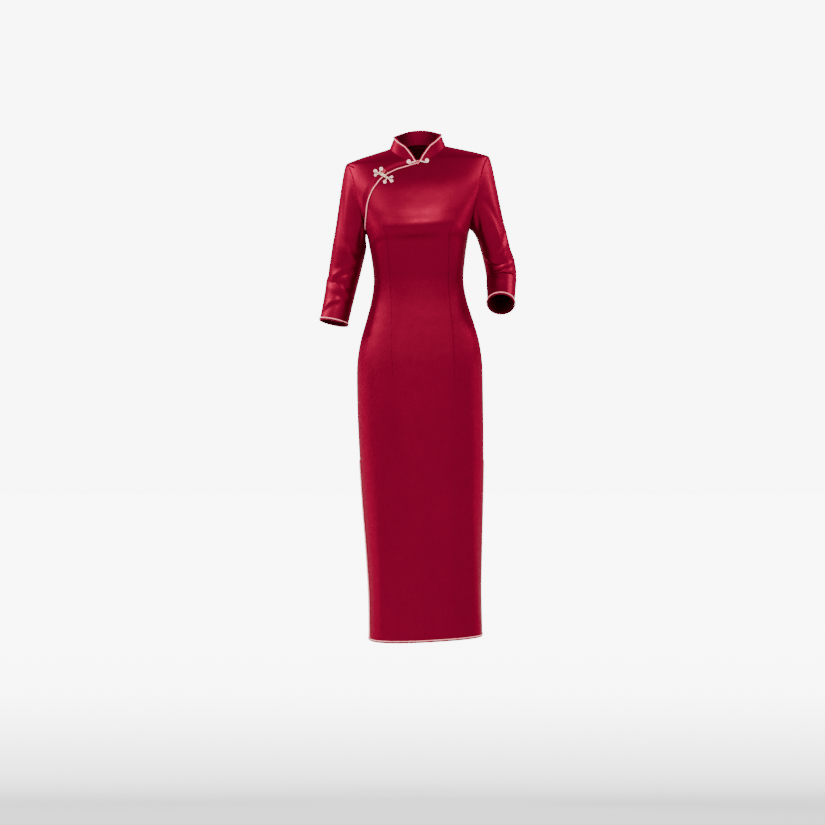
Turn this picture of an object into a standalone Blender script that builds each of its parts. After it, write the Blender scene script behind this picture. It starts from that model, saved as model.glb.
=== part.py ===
"""Cheongsam dress, worn form: every sewn piece is one closed cloth wall, named for the piece.

Metres, +Z up, the front of the dress looks along -Y and the wearer's left is +X.
The origin is at the middle of the neck, at the height of the shoulder seams, where the wearer holds it.
"""
import math

import bmesh
import bpy
import numpy as np

# Driving dimensions.
CLOTH = 0.0012           # wall of the dress satin
COLLAR_CLOTH = 0.0018    # collar, two layers and a stiffener
GAP = 0.0003             # air left at every seam
SEAM = GAP / 2           # how far a panel's edge stands back from a seam
HEM_Z = -1.170           # hem, below the neck point
SLIT_Z = -0.745          # top of both side slits
SLIT_OPEN = 0.0016       # how far each slit edge has moved in at the hem
FAN_Z = -0.300           # rings below this height are level
UNDERARM_Z = -0.198
SHOULDER_Z = -0.024      # shoulder end of the shoulder seam
NECK_SIDE_Z = 0.006      # neck end of the shoulder seam
ARMHOLE_FRONT = 0.052    # how far the armhole reaches forwards and backwards
ARMHOLE_BACK = 0.058
NECK_HALF_WIDTH = 0.068
NECK_FRONT = 0.067
NECK_BACK = 0.052
NECK_SIDE_Y = -0.002
COLLAR_TOP = (0.0552, 0.0510, 0.0470)      # half width, reach forwards, reach backwards
COLLAR_TOP_Y = 0.001
COLLAR_TOP_Z = (0.002, 0.036, 0.049)       # front, side, back
COLLAR_ROUND = 0.036     # length over which a front end rounds down
COLLAR_ROUND_POWER = 1.5
COLLAR_END = 0.0030      # half the space between the two front ends
COLLAR_LOW = 0.004       # height left at a front end
UNDERLAP = 0.018         # cloth of the under front hidden by the overlap
OVERLAP_SINK = 0.0026    # how far it lies below the overlap's outer face
UNDER_NECK_END = 0.012   # how far past the middle the under front reaches at the neck
UNDER_FOOT = -0.78       # where its foot ends, as a share across the front
UNDER_MATCH = (0.68, 0.80)      # shares of its hidden edge across from the shoulder's two ends
SLEEVE_GAP = 0.0004      # how far a sleeve's first ring stands off and away from its armhole
CAP_HANDLE = 0.017       # how far a sleeve runs on before it turns down
COLLAR_LIFT = 0.0011     # foot of the collar above the neck seam
SHOULDER_TILT = 0.055    # rise of the left shoulder over the right, for each metre of width
TILT_HEIGHTS = (-0.36, -0.16)
HEM_TILT = (0.037, 0.086)      # rise of the hem, for each metre to the left and for each backwards
HEM_TILT_TOP = -0.70     # where that tilt begins
BINDING = 0.0030         # width and wall of the bound edges
BINDING_WALL = 0.0007
PIPING_INSET = 0.0047    # from an edge to the middle of its piping
PIPING_RADIUS = 0.0011
TRIM_LIFT = 0.0005       # air under the trims, for the flats between the points of their panel
TRIM_HEIGHT = TRIM_LIFT + 2 * PIPING_RADIUS + GAP      # what crosses a piped edge starts this high
OPENING_STEPS = 18
EDGE_POINTS = 60         # along the opening edge
OPENING_LOW = 0.87       # share of the opening edge, from the neck, that its trims run down

# Columns across one panel: each number is a stretch of its top edge, from the wearer's right to the left.
FRONT_COLUMNS = (8, 7, 4)      # opening edge, neck, shoulder
BACK_COLUMNS = (4, 11, 4)      # shoulder, neck, shoulder
UNDER_COLUMNS = (4, 9)         # shoulder, neck
SIDE_ROWS = 5                  # up the side seam, from the last level ring to the underarm
ARM_ROWS = 8                   # up half an armhole
UNDER_ROWS = 5
UNDER_PART = slice(8, -4, 8)   # which points of the opening edge its hidden edge follows
SLEEVE_SIDES = 2 * ARM_ROWS
CAP_ROWS = 7
ARM_ROW = 0.011          # spacing of the rings down an arm
COLLAR_COLUMNS = 30
COLLAR_ROWS = 3
SKIRT_HEIGHTS = np.concatenate((np.linspace(HEM_Z, -0.60, 8), np.linspace(-0.545, FAN_Z, 6)))

# The worn form, ring by ring. height, half width, y of the side seam, y of the front, y of the back,
# squareness (2 is an ellipse), turn in degrees, sideways shift.
FORM = np.array((
    (-1.180, 0.1357, -0.002, -0.110, 0.106, 2.50, 10.0, 0.0205),
    (-1.080, 0.1347, -0.001, -0.109, 0.107, 2.48, 9.3, 0.0190),
    (-0.960, 0.1387, 0.000, -0.108, 0.110, 2.45, 8.4, 0.0165),
    (-0.840, 0.1447, 0.002, -0.108, 0.115, 2.42, 7.4, 0.0135),
    (-0.740, 0.1487, 0.004, -0.108, 0.121, 2.38, 6.5, 0.0115),
    (-0.640, 0.1510, 0.006, -0.108, 0.127, 2.34, 5.4, 0.0090),
    (-0.560, 0.1514, 0.007, -0.107, 0.131, 2.32, 4.4, 0.0075),
    (-0.500, 0.1492, 0.006, -0.105, 0.128, 2.30, 3.6, 0.0070),
    (-0.456, 0.1417, 0.004, -0.102, 0.119, 2.28, 3.0, 0.0070),
    (-0.408, 0.1280, 0.000, -0.098, 0.103, 2.25, 2.3, 0.0065),
    (-0.360, 0.1143, -0.004, -0.094, 0.087, 2.22, 1.6, 0.0050),
    (-0.312, 0.1078, -0.006, -0.093, 0.080, 2.20, 1.0, 0.0038),
    (-0.264, 0.1120, -0.006, -0.104, 0.088, 2.22, 0.5, 0.0035),
    (-0.228, 0.1176, -0.006, -0.119, 0.098, 2.26, 0.2, 0.0030),
    (-0.198, 0.1236, -0.006, -0.137, 0.105, 2.30, 0.0, 0.0028),
    (-0.178, 0.1300, -0.006, -0.141, 0.108, 2.32, 0.0, 0.0026),
    (-0.155, 0.1380, -0.006, -0.137, 0.109, 2.34, 0.0, 0.0024),
    (-0.120, 0.1526, -0.004, -0.124, 0.107, 2.30, 0.0, 0.0020),
    (-0.080, 0.1660, -0.002, -0.105, 0.099, 2.22, 0.0, 0.0018),
    (-0.050, 0.1722, -0.001, -0.084, 0.089, 2.16, 0.0, 0.0015),
    (-0.034, 0.1727, -0.001, -0.072, 0.081, 2.14, 0.0, 0.0015),
    (-0.024, 0.1700, -0.001, -0.064, 0.076, 2.12, 0.0, 0.0015),
    (-0.0185, 0.1555, -0.001, -0.059, 0.073, 2.11, 0.0, 0.0015),
    (-0.0125, 0.1370, -0.001, -0.053, 0.069, 2.10, 0.0, 0.0015),
    (-0.004, 0.1050, -0.001, -0.043, 0.064, 2.10, 0.0, 0.0015),
    (0.006, 0.0680, -0.002, -0.032, 0.058, 2.10, 0.0, 0.0015),
    (0.014, 0.0480, -0.002, -0.026, 0.050, 2.10, 0.0, 0.0015),
    (0.030, 0.0300, -0.002, -0.020, 0.040, 2.10, 0.0, 0.0015),
))

# Opening edge from the neck to the right underarm: x, y, z, each brought onto the form.
OPENING = np.array((
    (0.0020, -0.069, -0.0302),
    (-0.0305, -0.075, -0.0380),
    (-0.0510, -0.076, -0.0439),
    (-0.0690, -0.077, -0.0528),
    (-0.0882, -0.079, -0.0662),
    (-0.1000, -0.080, -0.0825),
    (-0.1118, -0.081, -0.1032),
    (-0.1200, -0.081, -0.1242),
    (-0.1248, -0.077, -0.1465),
    (-0.1260, -0.055, -0.1690),
    (-0.1236, -0.006, -0.1980),
))
OPENING_CORNER = 0.44     # share of the opening edge that is the panel's top, the rest is its side

# Sections down each arm: x, y, z of the middle, half width across, half depth.
ARM_RIGHT = np.array((
    (-0.1625, 0.006, -0.235, 0.0412, 0.0500),
    (-0.1722, 0.009, -0.285, 0.0392, 0.0470),
    (-0.1818, 0.008, -0.330, 0.0372, 0.0440),
    (-0.1912, 0.003, -0.375, 0.0357, 0.0410),
    (-0.2000, -0.003, -0.416, 0.0347, 0.0390),
))
ARM_LEFT = np.array((
    (0.1890, 0.012, -0.240, 0.0352, 0.0500),
    (0.1990, 0.020, -0.275, 0.0372, 0.0490),
    (0.2027, 0.018, -0.305, 0.0370, 0.0470),
    (0.2020, -0.004, -0.338, 0.0347, 0.0420),
    (0.2010, -0.031, -0.371, 0.0327, 0.0380),
))
# How a sleeve leaves its armhole at the underarm: outwards, down.
UNDERARM_AIM = {"right": (0.20, -1.0), "left": (0.95, -0.55)}

# Soft folds across a sleeve: metres down the arm from its first section, degrees round it from the
# outer side towards the front, depth, half length along the arm, half spread in degrees.
FOLD_LEAN = 0.00015       # metres further down the arm, for each degree round from a fold's middle
FOLDS = {
    "left": ((0.036, 80, 0.0026, 0.0060, 55), (0.058, 110, 0.0042, 0.0055, 60),
             (0.075, 50, 0.0030, 0.0045, 45)),
    "right": ((0.060, 95, 0.0022, 0.0110, 40), (0.092, 60, 0.0026, 0.0100, 40),
              (0.128, 110, 0.0022, 0.0090, 45)),
}


# Neck frog, from its knot: x and z on the wearer's left; the other side mirrors it.
NECK_KNOT = np.array((0.0005, -0.0332))
SCROLL_CENTRE = (0.0213, 0.0034)
SCROLL_RADIUS = 0.0043
SCROLL_PITCH = 0.0029
SCROLL_TURNS = 0.96
SCROLL_POINTS = 14
SCROLL_CORD = 0.00135
SCROLL_TAIL = np.array(((0.0046, 0.0012), (0.0088, 0.0001), (0.0130, -0.0010), (0.0172, -0.0014)))
NECK_FRONT_SEAM = np.array(((0.0, 0.010, 0.020, 0.030), (-0.0262, -0.0258, -0.0246, -0.0220)))

# Flower frog, x and z from its middle: the middle of each head, then its petals with their radius.
FLOWER_CENTRE = np.array((-0.0810, -0.0588))
FLOWER = {
    "upper": ((-0.0098, 0.0040), ((-0.0064, 0.0154, 0.0054), (-0.0202, 0.0104, 0.0051),
                                  (-0.0192, 0.0002, 0.0044))),
    "lower": ((0.0079, -0.0080), ((0.0190, -0.0060, 0.0043), (0.0190, -0.0156, 0.0047),
                                  (0.0030, -0.0176, 0.0049))),
}
PETAL_PITCH = 0.0021
PETAL_CORD = 0.0009
PETAL_HEART = 0.0012     # radius at which a petal's coil ends
PETAL_POINTS = 13        # to one turn
CORE_RADIUS = 0.0026
BAR = ((0.20, 0.0030), (0.36, 0.0051), (0.66, 0.0052), (0.82, 0.0042))      # share of the way, height
BAR_CORD = 0.0014
BAR_APART = 0.0017       # each of its two cords from the middle
BUD = (0.0104, 0.0016)
BUD_RADIUS = 0.0016
LOOP = (0.0004, 0.0090)
LOOP_RADIUS = 0.0031
LOOP_POINTS = 12
LOOP_CORD = 0.0009


def smooth(at, values, x):
    """Cubic curve through a table; the slope at a row is that between its neighbours, flat at a peak."""
    secant = np.diff(values) / np.diff(at)
    slope = np.gradient(values, at)
    steepest_slope = 3 * np.minimum(np.abs(secant[1:]), np.abs(secant[:-1])) * (secant[1:] * secant[:-1] > 0)
    slope[1:-1] = np.clip(slope[1:-1], -steepest_slope, steepest_slope)
    x = np.clip(x, at[0], at[-1])
    i = np.clip(np.searchsorted(at, x) - 1, 0, len(at) - 2)
    step = at[i + 1] - at[i]
    t = (x - at[i]) / step
    return ((1 + 2 * t) * (1 - t) ** 2 * values[i] + t * (1 - t) ** 2 * step * slope[i]
            + t * t * (3 - 2 * t) * values[i + 1] + t * t * (t - 1) * step * slope[i + 1])


def form(z):
    """Half width, side y, front y, back y, squareness, turn and shift of the form at a height."""
    return [smooth(FORM[:, 0], FORM[:, column], z) for column in range(1, 8)]


def off_form(points):
    """How far outside the form points are, as a share of its size there."""
    x, y, z = np.moveaxis(points, -1, 0)
    half_width, side, front, back, square = form(z)[:5]
    depth = np.where(y < side, side - front, back - side)
    return ((np.abs(x) / half_width) ** square + (np.abs(y - side) / depth) ** square) ** (1 / square) - 1


def steepest(points):
    """Gradient of off_form."""
    step = 1e-5
    slopes = [(off_form(points + step * axis) - off_form(points - step * axis)) / (2 * step)
              for axis in np.eye(3)]
    return np.stack(slopes, axis=-1)


def to_form(points, passes=6):
    """Brings points onto the form, straight along its normal."""
    points = np.array(points, float)
    for _ in range(passes):
        slope = steepest(points)
        size = np.maximum(np.sum(slope * slope, axis=-1), 1e-6)
        points -= (off_form(points) / size)[..., None] * slope
    return points


def outward(points):
    """Unit normals of the form."""
    slope = steepest(points)
    return slope / np.linalg.norm(slope, axis=-1, keepdims=True)


def posed(points):
    """Turns, shifts and tilts the upright form into the worn pose."""
    x, y, z = np.moveaxis(np.array(points, float), -1, 0)
    turn, shift = form(z)[5:]
    turn = np.radians(turn)
    low, high = TILT_HEIGHTS
    share = np.clip((z - low) / (high - low), 0, 1)
    tilt = SHOULDER_TILT * share * share * (3 - 2 * share)
    new_x = x * np.cos(turn) - y * np.sin(turn) + shift
    new_y = x * np.sin(turn) + y * np.cos(turn)
    share = np.clip((HEM_TILT_TOP - z) / (HEM_TILT_TOP - HEM_Z), 0, 1)
    hem = share * share * (HEM_TILT[0] * new_x + HEM_TILT[1] * new_y)
    return np.stack((new_x, new_y, z + tilt * new_x + hem), axis=-1)


def lengths(points):
    """Distance along a line of points, from its first."""
    steps = np.linalg.norm(np.diff(points, axis=0), axis=1)
    return np.concatenate(((0.0,), np.cumsum(steps)))


def evenly(points, count, part=(0.0, 1.0)):
    """A line of points, or part of it between two shares of its length, respaced at equal steps."""
    along = lengths(points)
    wanted = along[-1] * np.linspace(*part, count)
    return np.stack([np.interp(wanted, along, points[:, axis]) for axis in range(3)], axis=-1)


def through(points, count):
    """Smooth line through a few points, at equal steps."""
    along = lengths(points)
    fine = np.linspace(0, along[-1], 400)
    return evenly(np.stack([smooth(along, points[:, axis], fine) for axis in range(3)], axis=-1), count)


def ring(z, shares, back=False, inset=0.0):
    """Points across one panel at height z: shares run from -1 at the right seam to 1 at the left,
    measured along the cloth between two edges moved in by inset."""
    half_width, side, front, rear, square = form(z)[:5]
    angle = np.radians(np.linspace(-90, 90, 361))
    reach = (rear - side) if back else (front - side)
    x = half_width * np.sign(angle) * np.abs(np.sin(angle)) ** (2 / square)
    y = side + reach * np.abs(np.cos(angle)) ** (2 / square)
    line = np.stack((x, y, np.full(len(x), z)), axis=-1)
    along = lengths(line)
    wanted = inset + (np.asarray(shares) + 1) / 2 * (along[-1] - 2 * inset)
    return np.stack([np.interp(wanted, along, line[:, axis]) for axis in range(3)], axis=-1)


def slit_inset(z):
    """How far a slit edge has moved in at height z."""
    return SLIT_OPEN * np.clip((SLIT_Z - z) / (SLIT_Z - HEM_Z), 0, 1)


def side_seam(side, low, high, count):
    """Side seam between two heights; side is -1 on the right, 1 on the left."""
    z = np.linspace(low, high, count)
    half_width, middle = form(z)[:2]
    return np.stack((side * half_width, middle, z), axis=-1)


def shoulder_seam(side, count):
    """Shoulder seam from the armhole to the neck, along the crest of the form."""
    return evenly(side_seam(side, SHOULDER_Z, NECK_SIDE_Z, 60), count)


def armhole(side, start, end, count):
    """Armhole from one angle to another: 0 is the shoulder, 90 the front, 180 the underarm, 270 the back."""
    angle = np.radians(np.linspace(start, end, 160))
    reach = np.where(np.sin(angle) > 0, ARMHOLE_FRONT, ARMHOLE_BACK)
    z = (SHOULDER_Z + UNDERARM_Z) / 2 + (SHOULDER_Z - UNDERARM_Z) / 2 * np.cos(angle)
    half_width, middle, front, back, square = form(z)[:5]
    y = middle - reach * np.sin(angle)
    depth = np.where(y < middle, middle - front, back - middle)
    x = side * half_width * (1 - (np.abs(y - middle) / depth) ** square) ** (1 / square)
    return evenly(np.stack((x, y, z), axis=-1), count)


def neckline(angles):
    """Neck seam by angle in degrees, 0 at the front, 90 at the wearer's left, 180 at the back."""
    angle = np.radians(np.asarray(angles, float))
    reach = np.where(np.cos(angle) > 0, NECK_FRONT, NECK_BACK)
    x = NECK_HALF_WIDTH * np.sin(angle)
    y = NECK_SIDE_Y - reach * np.cos(angle)
    low = np.full(x.shape, -0.06)
    high = np.full(x.shape, 0.03)
    for _ in range(40):
        z = (low + high) / 2
        outside = off_form(np.stack((x, y, z), axis=-1)) > 0
        high = np.where(outside, z, high)
        low = np.where(outside, low, z)
    return np.stack((x, y, (low + high) / 2), axis=-1)


def neck_run(start, end, count):
    """Part of the neck seam at equal steps."""
    return evenly(neckline(np.linspace(start, end, 90)), count)


def opening_edge():
    """Opening edge of the overlapping front, from the neck to the right underarm."""
    return to_form(through(to_form(OPENING), EDGE_POINTS))


def joined(*runs):
    """Lines that follow each other, each met by the next at a shared point."""
    return np.concatenate([runs[0]] + [run[1:] for run in runs[1:]])


def quarter(z, back):
    """Quarter ring at each height z, from a panel's middle to its side seam: x, y and distance along."""
    half_width, side, front, rear, square = (value[..., None] for value in form(z)[:5])
    angle = np.radians(np.linspace(0, 90, 181))
    x = half_width * np.sin(angle) ** (2 / square)
    y = side + ((rear - side) if back else (front - side)) * np.abs(np.cos(angle)) ** (2 / square)
    along = np.cumsum(np.hypot(np.diff(x, axis=-1), np.diff(y, axis=-1)), axis=-1)
    return x, y, np.concatenate((np.zeros_like(x[..., :1]), along), axis=-1)


def read_off(wanted, known, *others):
    """Where wanted lies in the rising rows of known, and the others read off at that place."""
    i = np.clip(np.sum(known < wanted[..., None], axis=-1, keepdims=True) - 1, 0, known.shape[-1] - 2)
    low, high = (np.take_along_axis(known, i + step, -1)[..., 0] for step in (0, 1))
    share = np.clip((wanted - low) / (high - low), 0, 1)
    return [np.take_along_axis(rows, i, -1)[..., 0] * (1 - share)
            + np.take_along_axis(rows, i + 1, -1)[..., 0] * share for rows in others]


def unrolled(points, back):
    """Flat place of points on the form: distance along their ring from its middle, and height."""
    x, _, z = np.moveaxis(points, -1, 0)
    across, _, along = quarter(z, back)
    far, = read_off(np.abs(x), across, along)
    return np.stack((np.sign(x) * far, z), axis=-1)


def rolled(places, back):
    """Points on the form at their flat places."""
    far, z = np.moveaxis(places, -1, 0)
    across, deep, along = quarter(z, back)
    x, y = read_off(np.abs(far), along, across, deep)
    return np.stack((np.sign(far) * x, y, z), axis=-1)


def patch(bottom, top, right, left, back=False, passes=4):
    """Grid on the form between four edges: blended from them in the flat (Coons), evened out there by
    moving each inner point between its neighbours, and rolled back. Bottom and top run to the wearer's
    left, right and left run up."""
    edges = [unrolled(edge, back) for edge in (bottom, top, right, left)]
    low, high, start, end = edges
    u = np.linspace(0, 1, len(low))[None, :, None]
    v = np.linspace(0, 1, len(start))[:, None, None]
    corners = (1 - v) * ((1 - u) * low[0] + u * low[-1]) + v * ((1 - u) * high[0] + u * high[-1])
    flat = (1 - v) * low[None] + v * high[None] + (1 - u) * start[:, None] + u * end[:, None] - corners
    for _ in range(passes):
        around = flat[:-2, 1:-1] + flat[2:, 1:-1] + flat[1:-1, :-2] + flat[1:-1, 2:]
        flat[1:-1, 1:-1] = 0.5 * flat[1:-1, 1:-1] + 0.125 * around
    grid = rolled(flat, back)
    grid[0], grid[-1], grid[:, 0], grid[:, -1] = bottom, top, right, left
    return grid


def skirt_rows(shares, back):
    """Level rings from the hem up to where the bodice fan starts."""
    return np.stack([ring(z, shares, back, slit_inset(z)) for z in SKIRT_HEIGHTS])


def front_grid():
    """Overlapping front: skirt rings, then a bodice between the opening edge, neck, shoulder and armhole."""
    opening, neck, shoulder = FRONT_COLUMNS
    shares = np.linspace(-1, 1, sum(FRONT_COLUMNS) + 1)
    skirt = skirt_rows(shares, back=False)
    edge = opening_edge()[::-1]
    split = int(len(edge) * (1 - OPENING_CORNER))
    right = joined(side_seam(-1, FAN_Z, UNDERARM_Z, SIDE_ROWS + 1), evenly(edge[:split + 1], ARM_ROWS + 1))
    left = joined(side_seam(1, FAN_Z, UNDERARM_Z, SIDE_ROWS + 1), armhole(1, 180, 0, ARM_ROWS + 1))
    neck_start = math.degrees(math.asin(OPENING[0, 0] / NECK_HALF_WIDTH))
    top = joined(evenly(edge[split:], opening + 1), neck_run(neck_start, 90, neck + 1),
                 shoulder_seam(1, shoulder + 1)[::-1])
    bodice = patch(skirt[-1], top, right, left)
    return np.concatenate((skirt, bodice[1:])) - (0, SEAM, 0)


def back_grid():
    """Back: skirt rings, then a bodice between both armholes, both shoulders and the neck."""
    shoulder, neck, _ = BACK_COLUMNS
    shares = np.linspace(-1, 1, sum(BACK_COLUMNS) + 1)
    skirt = skirt_rows(shares, back=True)
    right = joined(side_seam(-1, FAN_Z, UNDERARM_Z, SIDE_ROWS + 1), armhole(-1, 180, 360, ARM_ROWS + 1))
    left = joined(side_seam(1, FAN_Z, UNDERARM_Z, SIDE_ROWS + 1), armhole(1, 180, 360, ARM_ROWS + 1))
    top = joined(shoulder_seam(-1, shoulder + 1), neck_run(270, 90, neck + 1),
                 shoulder_seam(1, shoulder + 1)[::-1])
    bodice = patch(skirt[-1], top, right, left, back=True)
    return np.concatenate((skirt, bodice[1:])) + (0, SEAM, 0)


def beside(line, distance):
    """A line on the form moved sideways by a distance, to the right of its run as seen from outside."""
    ahead = np.gradient(line, axis=0)
    across = np.cross(ahead, outward(line))
    across /= np.linalg.norm(across, axis=-1, keepdims=True)
    return to_form(line + distance * across)


def overlap_depth(points, edge):
    """How far under the form points of the under front lie: a wall and a gap where the overlap covers them,
    easing to none a little outside its edge."""
    flat = points.reshape(-1, 3)
    away = flat[:, None] - edge[None]
    nearest = np.argmin(np.linalg.norm(away, axis=2), axis=1)
    ahead = np.gradient(edge, axis=0)
    across = np.cross(ahead, outward(edge))
    across /= np.linalg.norm(across, axis=1, keepdims=True)
    inside = np.sum(away[np.arange(len(flat)), nearest] * across[nearest], axis=1)
    share = np.clip((inside + 0.018) / 0.014, 0, 1)
    return (OVERLAP_SINK * share * share * (3 - 2 * share)).reshape(points.shape[:-1])


def under_grid():
    """Under front of the right shoulder, ruled between its hidden edge and the armhole, shoulder and
    neck, and sunk below the overlap where that covers it."""
    shoulder, neck = UNDER_COLUMNS
    edge = opening_edge()[::-1]
    neck_angle = math.degrees(math.asin(UNDER_NECK_END / NECK_HALF_WIDTH))
    top = joined(armhole(-1, 180, 0, ARM_ROWS + 1), shoulder_seam(-1, shoulder + 1),
                 neck_run(-90, neck_angle, neck + 1))
    foot = ring(UNDERARM_Z - UNDERLAP, (-1, UNDER_FOOT))[1:]
    hidden = beside(edge, UNDERLAP)[UNDER_PART]
    hidden = through(to_form(np.concatenate((foot, hidden, top[-1:] + (0, -0.006, -UNDERLAP)))), 200)
    marks = (0.0, *UNDER_MATCH, 1.0)
    counts = (ARM_ROWS + 1, shoulder + 1, neck + 1)
    bottom = joined(*(evenly(hidden, count, part) for count, part in zip(counts, zip(marks, marks[1:]))))
    bottom = to_form(bottom)
    right = to_form(np.linspace(bottom[0], top[0], UNDER_ROWS + 1))
    left = to_form(np.linspace(bottom[-1], top[-1], UNDER_ROWS + 1))
    grid = patch(bottom, top, right, left, passes=0)
    grid = grid - overlap_depth(grid, edge)[..., None] * outward(grid)
    return grid - (0, SEAM, 0)


def carried(points, directions):
    """Directions on the upright form as they point once it is posed."""
    step = 0.001
    moved = (posed(points + step * directions) - posed(points)) / step
    return moved / np.linalg.norm(moved, axis=-1, keepdims=True)


def arm_ring(arm, along, side, angles):
    """Section of an arm at a distance down it: angles run from the outer side over the front."""
    at = lengths(arm[:, :3])
    middle, ahead = (np.array([smooth(at, arm[:, axis], along + step) for axis in range(3)])
                     for step in (0.0, 0.001))
    ahead = ahead - middle if along + 0.001 < at[-1] else arm[-1, :3] - arm[-2, :3]
    ahead /= np.linalg.norm(ahead)
    across = np.array((side, 0, 0)) - side * ahead[0] * ahead
    across /= np.linalg.norm(across)
    forward = np.cross(across, ahead) * side
    forward *= -np.sign(forward[1])
    half_width, half_depth = (smooth(at, arm[:, axis], along) for axis in (3, 4))
    turn = np.radians(angles)[:, None]
    return middle + half_width * np.cos(turn) * across + half_depth * np.sin(turn) * forward, ahead, middle


def folded(ring_points, middle, along, angles, folds):
    """A ring with the soft folds pressed in."""
    press = np.zeros(len(angles))
    for place, degrees, depth, half_length, spread in folds:
        off = (np.asarray(angles) - degrees + 180) % 360 - 180
        past = along - place - FOLD_LEAN * off
        press += depth * np.exp(-(past / half_length) ** 2 - (off / spread) ** 2)
    inwards = middle - ring_points
    inwards /= np.linalg.norm(inwards, axis=1, keepdims=True)
    return ring_points + press[:, None] * inwards


def sleeve_walls(name):
    """Outer and inner face of a sleeve: a cap of curves from the armhole to the arm's first section,
    then rings to the cuff."""
    side, arm = (1, ARM_LEFT) if name == "left" else (-1, ARM_RIGHT)
    half = SLEEVE_SIDES // 2
    seam = np.concatenate((armhole(side, 0, 180, half + 1)[:-1], armhole(side, 180, 360, half + 1)[:-1]))
    angles = np.arange(SLEEVE_SIDES) * 360 / SLEEVE_SIDES
    normal = outward(seam)
    run = np.roll(seam, -1, axis=0) - np.roll(seam, 1, axis=0)
    leave = np.cross(normal, run)
    leave *= np.sign(leave[:, 0] * side)[:, None] / np.linalg.norm(leave, axis=1, keepdims=True)
    low = np.clip((180 - np.abs(180 - angles) - 60) / 80, 0, 1)[:, None]
    low = low * low * (3 - 2 * low)
    outwards, upwards = UNDERARM_AIM[name]
    down = np.stack((np.full(len(angles), side * outwards), -0.25 * np.sin(np.radians(angles)),
                     np.full(len(angles), upwards)), axis=-1)
    down /= np.linalg.norm(down, axis=1, keepdims=True)
    start = posed(seam + SLEEVE_GAP * normal + SLEEVE_GAP * leave)
    leave = carried(seam, leave) * (1 - low) + down * low
    end, ahead, _ = arm_ring(arm, 0.0, side, angles)
    span = np.linalg.norm(end - start, axis=1, keepdims=True)
    first = start + leave * np.minimum(CAP_HANDLE, 0.35 * span)
    second = end - ahead * 0.40 * span
    rows = [(1 - t) ** 3 * start + 3 * t * (1 - t) ** 2 * first
            + 3 * t * t * (1 - t) * second + t ** 3 * end for t in np.linspace(0, 1, CAP_ROWS)]
    total = lengths(arm[:, :3])[-1]
    for along in np.linspace(0, total, round(total / ARM_ROW) + 1)[1:]:
        points, _, middle = arm_ring(arm, along, side, angles)
        rows.append(folded(points, middle, along, angles, FOLDS[name]))
    outer = np.stack(rows)
    inner = inner_face(outer, CLOTH, closed=True)
    seam_side = start - CLOTH * carried(seam, normal)
    inner[0] = seam_side * (1 - low) + inner[0] * low
    return outer, inner


def collar_edges(angles):
    """Foot and full top of the collar at angles round the neck, 0 at the front."""
    foot = neckline(angles) + (0, 0, COLLAR_LIFT)
    turn = np.radians(np.asarray(angles, float))
    half_width, ahead, behind = COLLAR_TOP
    low, middle, high = COLLAR_TOP_Z
    x = half_width * np.sin(turn)
    y = COLLAR_TOP_Y - np.where(np.cos(turn) > 0, ahead, behind) * np.cos(turn)
    height = np.where(np.cos(turn) > 0, low + (middle - low) * np.sin(turn) ** 2,
                      middle + (high - middle) * np.cos(turn) ** 2)
    return foot, np.stack((x, y, height), axis=-1)


def collar_line(count):
    """Foot and finished edge of the collar, from the left front end round the back to the right one."""
    first = math.degrees(math.asin(COLLAR_END / NECK_HALF_WIDTH))
    spread = np.linspace(0, 1, count)
    spread = 0.5 - 0.5 * np.sign(1 - 2 * spread) * np.abs(1 - 2 * spread) ** 0.75
    angles = first + (360 - 2 * first) * spread
    foot, top = collar_edges(angles)
    from_end = np.minimum(lengths(foot), lengths(foot[::-1])[::-1]) / COLLAR_ROUND
    power = COLLAR_ROUND_POWER
    rise = (1 - np.clip(1 - from_end, 0, 1) ** power) ** (1 / power)
    full = np.linalg.norm(top - foot, axis=1)
    rise = np.maximum(rise, COLLAR_LOW / full)
    return foot, foot + rise[:, None] * (top - foot)


def collar_grid():
    """Collar: straight from its foot to its finished edge at every column."""
    foot, edge = collar_line(COLLAR_COLUMNS + 1)
    share = np.linspace(0, 1, COLLAR_ROWS + 1)[:, None, None]
    return foot + share * (edge - foot)


def hem_path(distance, back):
    """Line at a distance inside a panel's slit edges and hem: down the right slit, along, up the left."""
    heights = np.concatenate(([SLIT_Z], SKIRT_HEIGHTS[SKIRT_HEIGHTS < SLIT_Z - 0.01][::-1]))
    heights[-1] = HEM_Z + distance
    shares = np.linspace(-1, 1, sum(BACK_COLUMNS if back else FRONT_COLUMNS) + 1)
    rings = [ring(z, (-1, 1), back, slit_inset(z) + distance) for z in heights]
    right = np.stack([row[0] for row in rings])
    left = np.stack([row[1] for row in rings])
    hem = ring(HEM_Z + distance, shares, back, SLIT_OPEN + distance)
    return joined(right, hem, left[::-1]) + (0, SEAM if back else -SEAM, 0)


def over_body(line, height):
    """A line on the form, raised by a height and posed."""
    return posed(line + np.asarray(height)[..., None] * outward(line))


def collar_rim(distance):
    """Line at a distance inside the collar's finished edge, with the collar's normals there."""
    foot, edge = collar_line(COLLAR_COLUMNS + 1)
    normal = np.cross(np.gradient(foot, axis=0), edge - foot)
    normal /= np.linalg.norm(normal, axis=1, keepdims=True)
    across = np.cross(np.gradient(edge, axis=0), normal)
    across /= np.linalg.norm(across, axis=1, keepdims=True)
    return edge + distance * across, normal


def over_collar(distance, height):
    """Rim line of the collar, raised off its outer face and posed."""
    line, normal = collar_rim(distance)
    return posed(line + height * normal)


def over_cuff(outer, inner, distance, height):
    """Ring at a distance above a sleeve's end, raised off its outer face."""
    up = outer[-2] - outer[-1]
    up /= np.linalg.norm(up, axis=1, keepdims=True)
    normal = (outer[-1] - inner[-1]) / CLOTH
    return outer[-1] + distance * up + height * normal


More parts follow.
